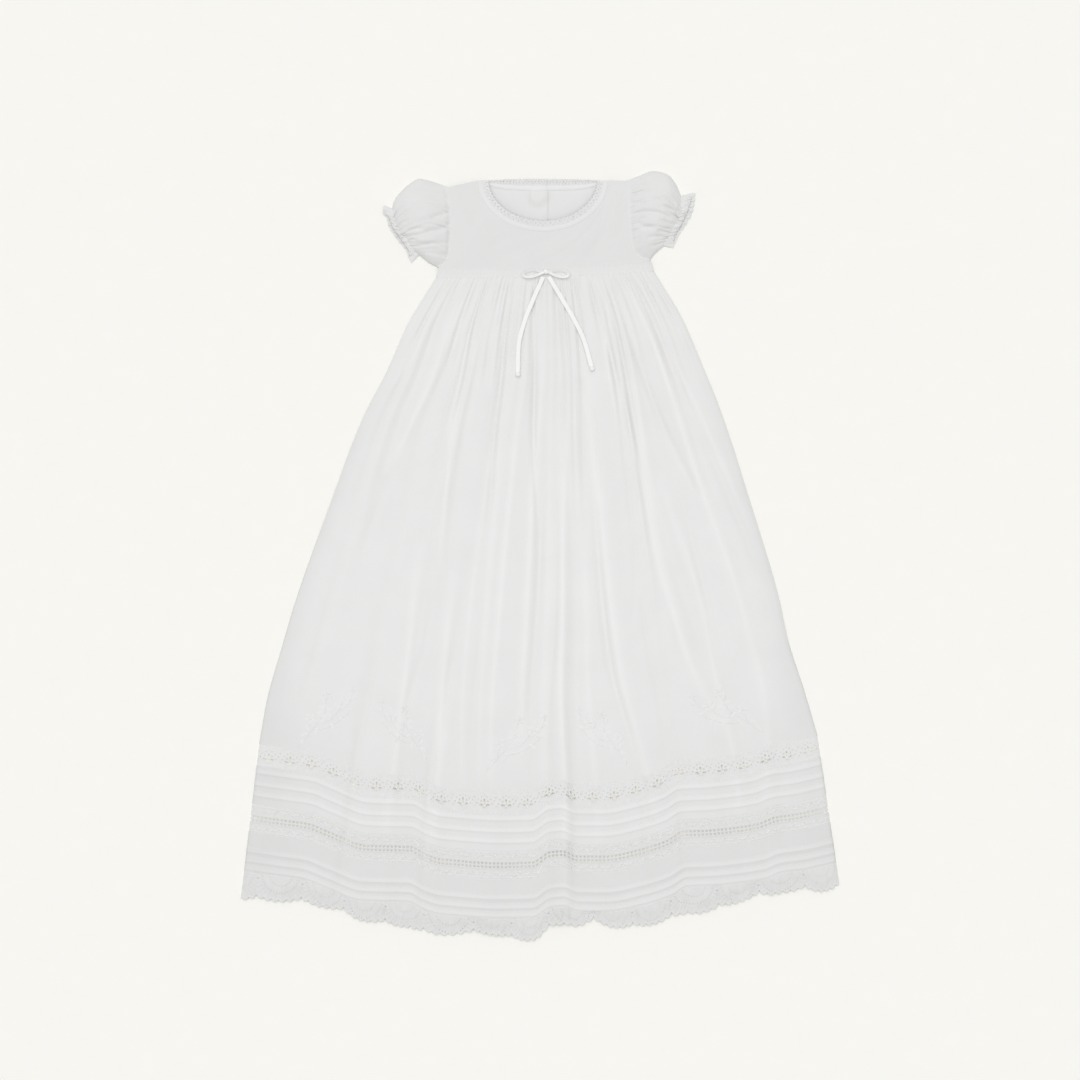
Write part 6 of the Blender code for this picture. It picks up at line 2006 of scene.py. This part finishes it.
# %% Drawing of a spray
SPRAY_LEAVES = table(
    "x y long wide turn",
    (-25, -15, 9, 3.6, 200), (-21, -9, 8, 3.4, 120), (-13, -14, 9, 3.6, 250), (-7, -5, 8, 3.2, 140),
    (3, -11, 9, 3.6, 280), (13, -6, 9, 3.6, 320), (9, 8, 8, 3.2, 100), (21, 3, 8, 3.4, 350),
    (17, 16, 8, 3.2, 80), (26, 13, 7, 3, 20), (-28, -22, 7, 3, 230), (-2, 14, 7, 3, 110),
)
SPRAY_FLOWERS = table(
    "x y radius petals turn",
    (-2, 4, 8.5, 6, 10), (-17, -1, 6, 5, 40), (15, 9, 6.5, 5, 75), (3, 20, 5, 5, 20), (27, 21, 3.6, 4, 0),
)
SPRAY_STEMS = table(
    "x0 y0 x1 y1 x2 y2",
    (-32, -26, -18, -14, -2, 4), (-20, -14, -19, -8, -17, -1), (-8, -6, 4, -8, 15, 9),
    (-2, 4, 0, 14, 3, 20), (12, 3, 24, 6, 27, 21), (-14, -12, 4, -14, 22, 2),
)
SPRAYS = table(
    "x y size turn mirror",
    (-248, -184, 1.22, 8, 1), (-160, -200, 1.16, -14, -1), (-26, -214, 1.24, 4, 1),
    (72, -206, 1.14, -10, -1), (216, -180, 1.22, 12, -1),
)
# Shares of a flower's radius: how far out its petals lie, how long and wide they are, and its eye.
PETALS_OUT, PETAL_LONG, PETAL_WIDE, FLOWER_EYE = 0.58, 0.86, 0.62, 0.34


def spray_leaves():
    """Every leaf and petal of one spray: place, length, width and direction."""
    rows = [np.stack(list(SPRAY_LEAVES.values()), axis=-1)]
    for x, y, radius, petals, turn in zip(*SPRAY_FLOWERS.values()):
        angle = turn + 360 * np.arange(int(petals)) / petals
        px = x + PETALS_OUT * radius * np.cos(np.radians(angle))
        py = y + PETALS_OUT * radius * np.sin(np.radians(angle))
        sizes = radius * PETAL_LONG, radius * PETAL_WIDE
        rows.append(np.stack(np.broadcast_arrays(px, py, *sizes, angle), axis=-1))
        rows.append(np.array([[x, y, radius * FLOWER_EYE, radius * FLOWER_EYE, 0.0]]))
    return np.concatenate(rows)


def place_spray(x, y, row):
    """A point of the drawing on the gown: mirrored, turned, sized and moved to its spray's place."""
    place_x, place_y, size, turn, mirror = (column[row] for column in SPRAYS.values())
    c, s = math.cos(math.radians(turn)), math.sin(math.radians(turn))
    x, y = x * mirror * size, y * size
    return place_x + x * c - y * s, place_y + x * s + y * c


def on_skirt_at(x, y, above):
    """Points over the skirt's cloth at plan points."""
    return xyz(x, y, skirt_top(*skirt_share(x, y)) + above)


print("leaves and petals of a spray:", len(spray_leaves()))

# %% Embroidered sprays
LEAF_RISE, LEAF_GRID, STEM_RADIUS = 0.32, (6, 5), 0.38
LEAF_ABOVE, LEAF_SUNK, STEM_ABOVE, STEM_POINTS = 0.03, -0.15, 0.12, 26
leaves = spray_leaves()[:, :, None, None]
along = np.linspace(-0.96, 0.96, LEAF_GRID[0])
along, over = np.meshgrid(along, np.linspace(-1, 1, LEAF_GRID[1]), indexing="ij")
narrow = np.maximum(1 - along**2, 0.0) ** 0.75
leaf_x, leaf_y = leaves[:, 2] / 2 * along, leaves[:, 3] / 2 * over * narrow
leaf_z = LEAF_RISE * np.sqrt(np.clip(1 - over**2, 0, 1)) * narrow**0.5
turn = np.radians(leaves[:, 4])
at_x = leaves[:, 0] + leaf_x * np.cos(turn) - leaf_y * np.sin(turn)
at_y = leaves[:, 1] + leaf_x * np.sin(turn) + leaf_y * np.cos(turn)
one_leaf = shell_faces(*LEAF_GRID)
leaf_starts = 2 * along.size * np.arange(len(leaves))[:, None, None]
points, faces, start, stems = [], [], 0, []
run = np.linspace(0, 1, STEM_POINTS)[:, None]
for row, mirror in enumerate(SPRAYS["mirror"]):
    x, y = place_spray(at_x, at_y, row)
    leaf = [on_skirt_at(x, y, leaf_z + LEAF_ABOVE), on_skirt_at(x, y, LEAF_SUNK)]
    leaf = np.stack(leaf, axis=1).reshape(-1, 3)
    points.append(leaf)
    faces += (one_leaf + leaf_starts + start).reshape(-1, 4)[:, :: int(mirror)].tolist()
    start += len(leaf)
    for x0, y0, x1, y1, x2, y2 in zip(*SPRAY_STEMS.values()):
        line = (1 - run) ** 2 * (x0, y0) + 2 * run * (1 - run) * (x1, y1) + run**2 * (x2, y2)
        stems.append(on_skirt_at(*place_spray(line[:, 0], line[:, 1], row), STEM_ABOVE))
points = np.concatenate(points)
petals = ride(add_mesh("embroidered_petals", points, faces, EMBROIDERY, points[:, :2]), "batiste")
stalks = ride(thread_piece("embroidered_stems", stems, STEM_RADIUS, material=EMBROIDERY), "batiste")
print("embroidery:", len(petals.data.polygons), "faces")

# %% [markdown]
# ## The cut of every piece
# Each piece was cut flat before it was gathered, folded or sewn. The sizes here are width and length in
# millimetres of what shows of each piece, without seam allowances and without the cloth inside the tucks.
# A hem band's width is its length along its middle, and its length is its area over that width. A hem lace's
# length is its deepest scallop. The share is how much of that rectangle is cloth: a flared or hollowed cut,
# or the holes and valleys of a lace. The cuts of the skirt, the sleeves and the frills hold more cloth than
# most of the shapes here show, because their finest gathers are closer than a shell can follow.

# %% Cut sizes
FLOOR = "floor_sheet"
CUTS = {
    "skirt_front_cloth": (680, 565, 0.84, "gathered", "skirt_back_cloth", (petals, stalks)),
    "skirt_back_cloth": (680, 565, 0.84, "gathered", FLOOR, ()),
    "insertion_lace": (679, 23.9, 0.91, "laid", "insertion_back_lace", ()),
    "tucks_upper_cloth": (688, 43.5, 1.0, "folded", "tucks_upper_back_cloth", (stitches,)),
    "beading_band": (698, 31.9, 0.91, "laid", "beading_back_band", (braid_cords,)),
    "tucks_lower_cloth": (709, 45.6, 1.0, "folded", "tucks_lower_back_cloth", ()),
    "hem_lace_front_cloth": (718, 33.0, 0.68, "laid", "hem_lace_back_cloth", ()),
    "insertion_back_lace": (679, 23.9, 0.95, "laid", FLOOR, ()),
    "tucks_upper_back_cloth": (688, 43.5, 1.0, "folded", FLOOR, ()),
    "beading_back_band": (698, 31.9, 1.0, "laid", FLOOR, ()),
    "tucks_lower_back_cloth": (708, 39.7, 1.0, "folded", FLOOR, ()),
    "hem_lace_back_cloth": (716, 33.0, 0.69, "laid", FLOOR, ()),
    "bodice_front_cloth": (248, 105, 0.55, "laid", "bodice_back_left_cloth", neck_trims["front"]),
    "bodice_back_left_cloth": (127, 103, 0.80, "laid", "bodice_back_right_cloth", neck_trims["back_left"]),
    "bodice_back_right_cloth": (142, 106, 0.74, "laid", FLOOR, neck_trims["back_right"]),
    "waistband_cloth": (256, 11.4, 1.0, "laid", "waistband_back_left_cloth", ()),
    "waistband_back_left_cloth": (128, 11.4, 1.0, "laid", "waistband_back_right_cloth", ()),
    "waistband_back_right_cloth": (143, 11.4, 1.0, "laid", FLOOR, ()),
    "sleeve_left_cloth": (215, 62, 0.84, "gathered", FLOOR, ()),
    "sleeve_right_cloth": (215, 62, 0.84, "gathered", FLOOR, ()),
    "cuff_frill_left_lace": (152, 11.5, 0.88, "gathered", FLOOR, ()),
    "cuff_frill_right_lace": (158, 13, 0.88, "gathered", FLOOR, ()),
}
for name, (wide, long, share, held, below, sewn_on) in CUTS.items():
    cut = (wide * MM, long * MM)
    on = bpy.data.objects[name]
    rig.sheet(
        on,
        flat=cut,
        held=held,
        rests_on=[below],
        area=share * cut[0] * cut[1],
        with_pieces=list(sewn_on),
    )
print("cut pieces:", len(CUTS))

# %% Size and finish
def corners(box):
    return [[float(k) for k in corner] for corner in box]


with open("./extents.json", "w") as out:
    json.dump({"cad": corners(CAD_BOX), "visual": corners(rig.bounds())}, out)
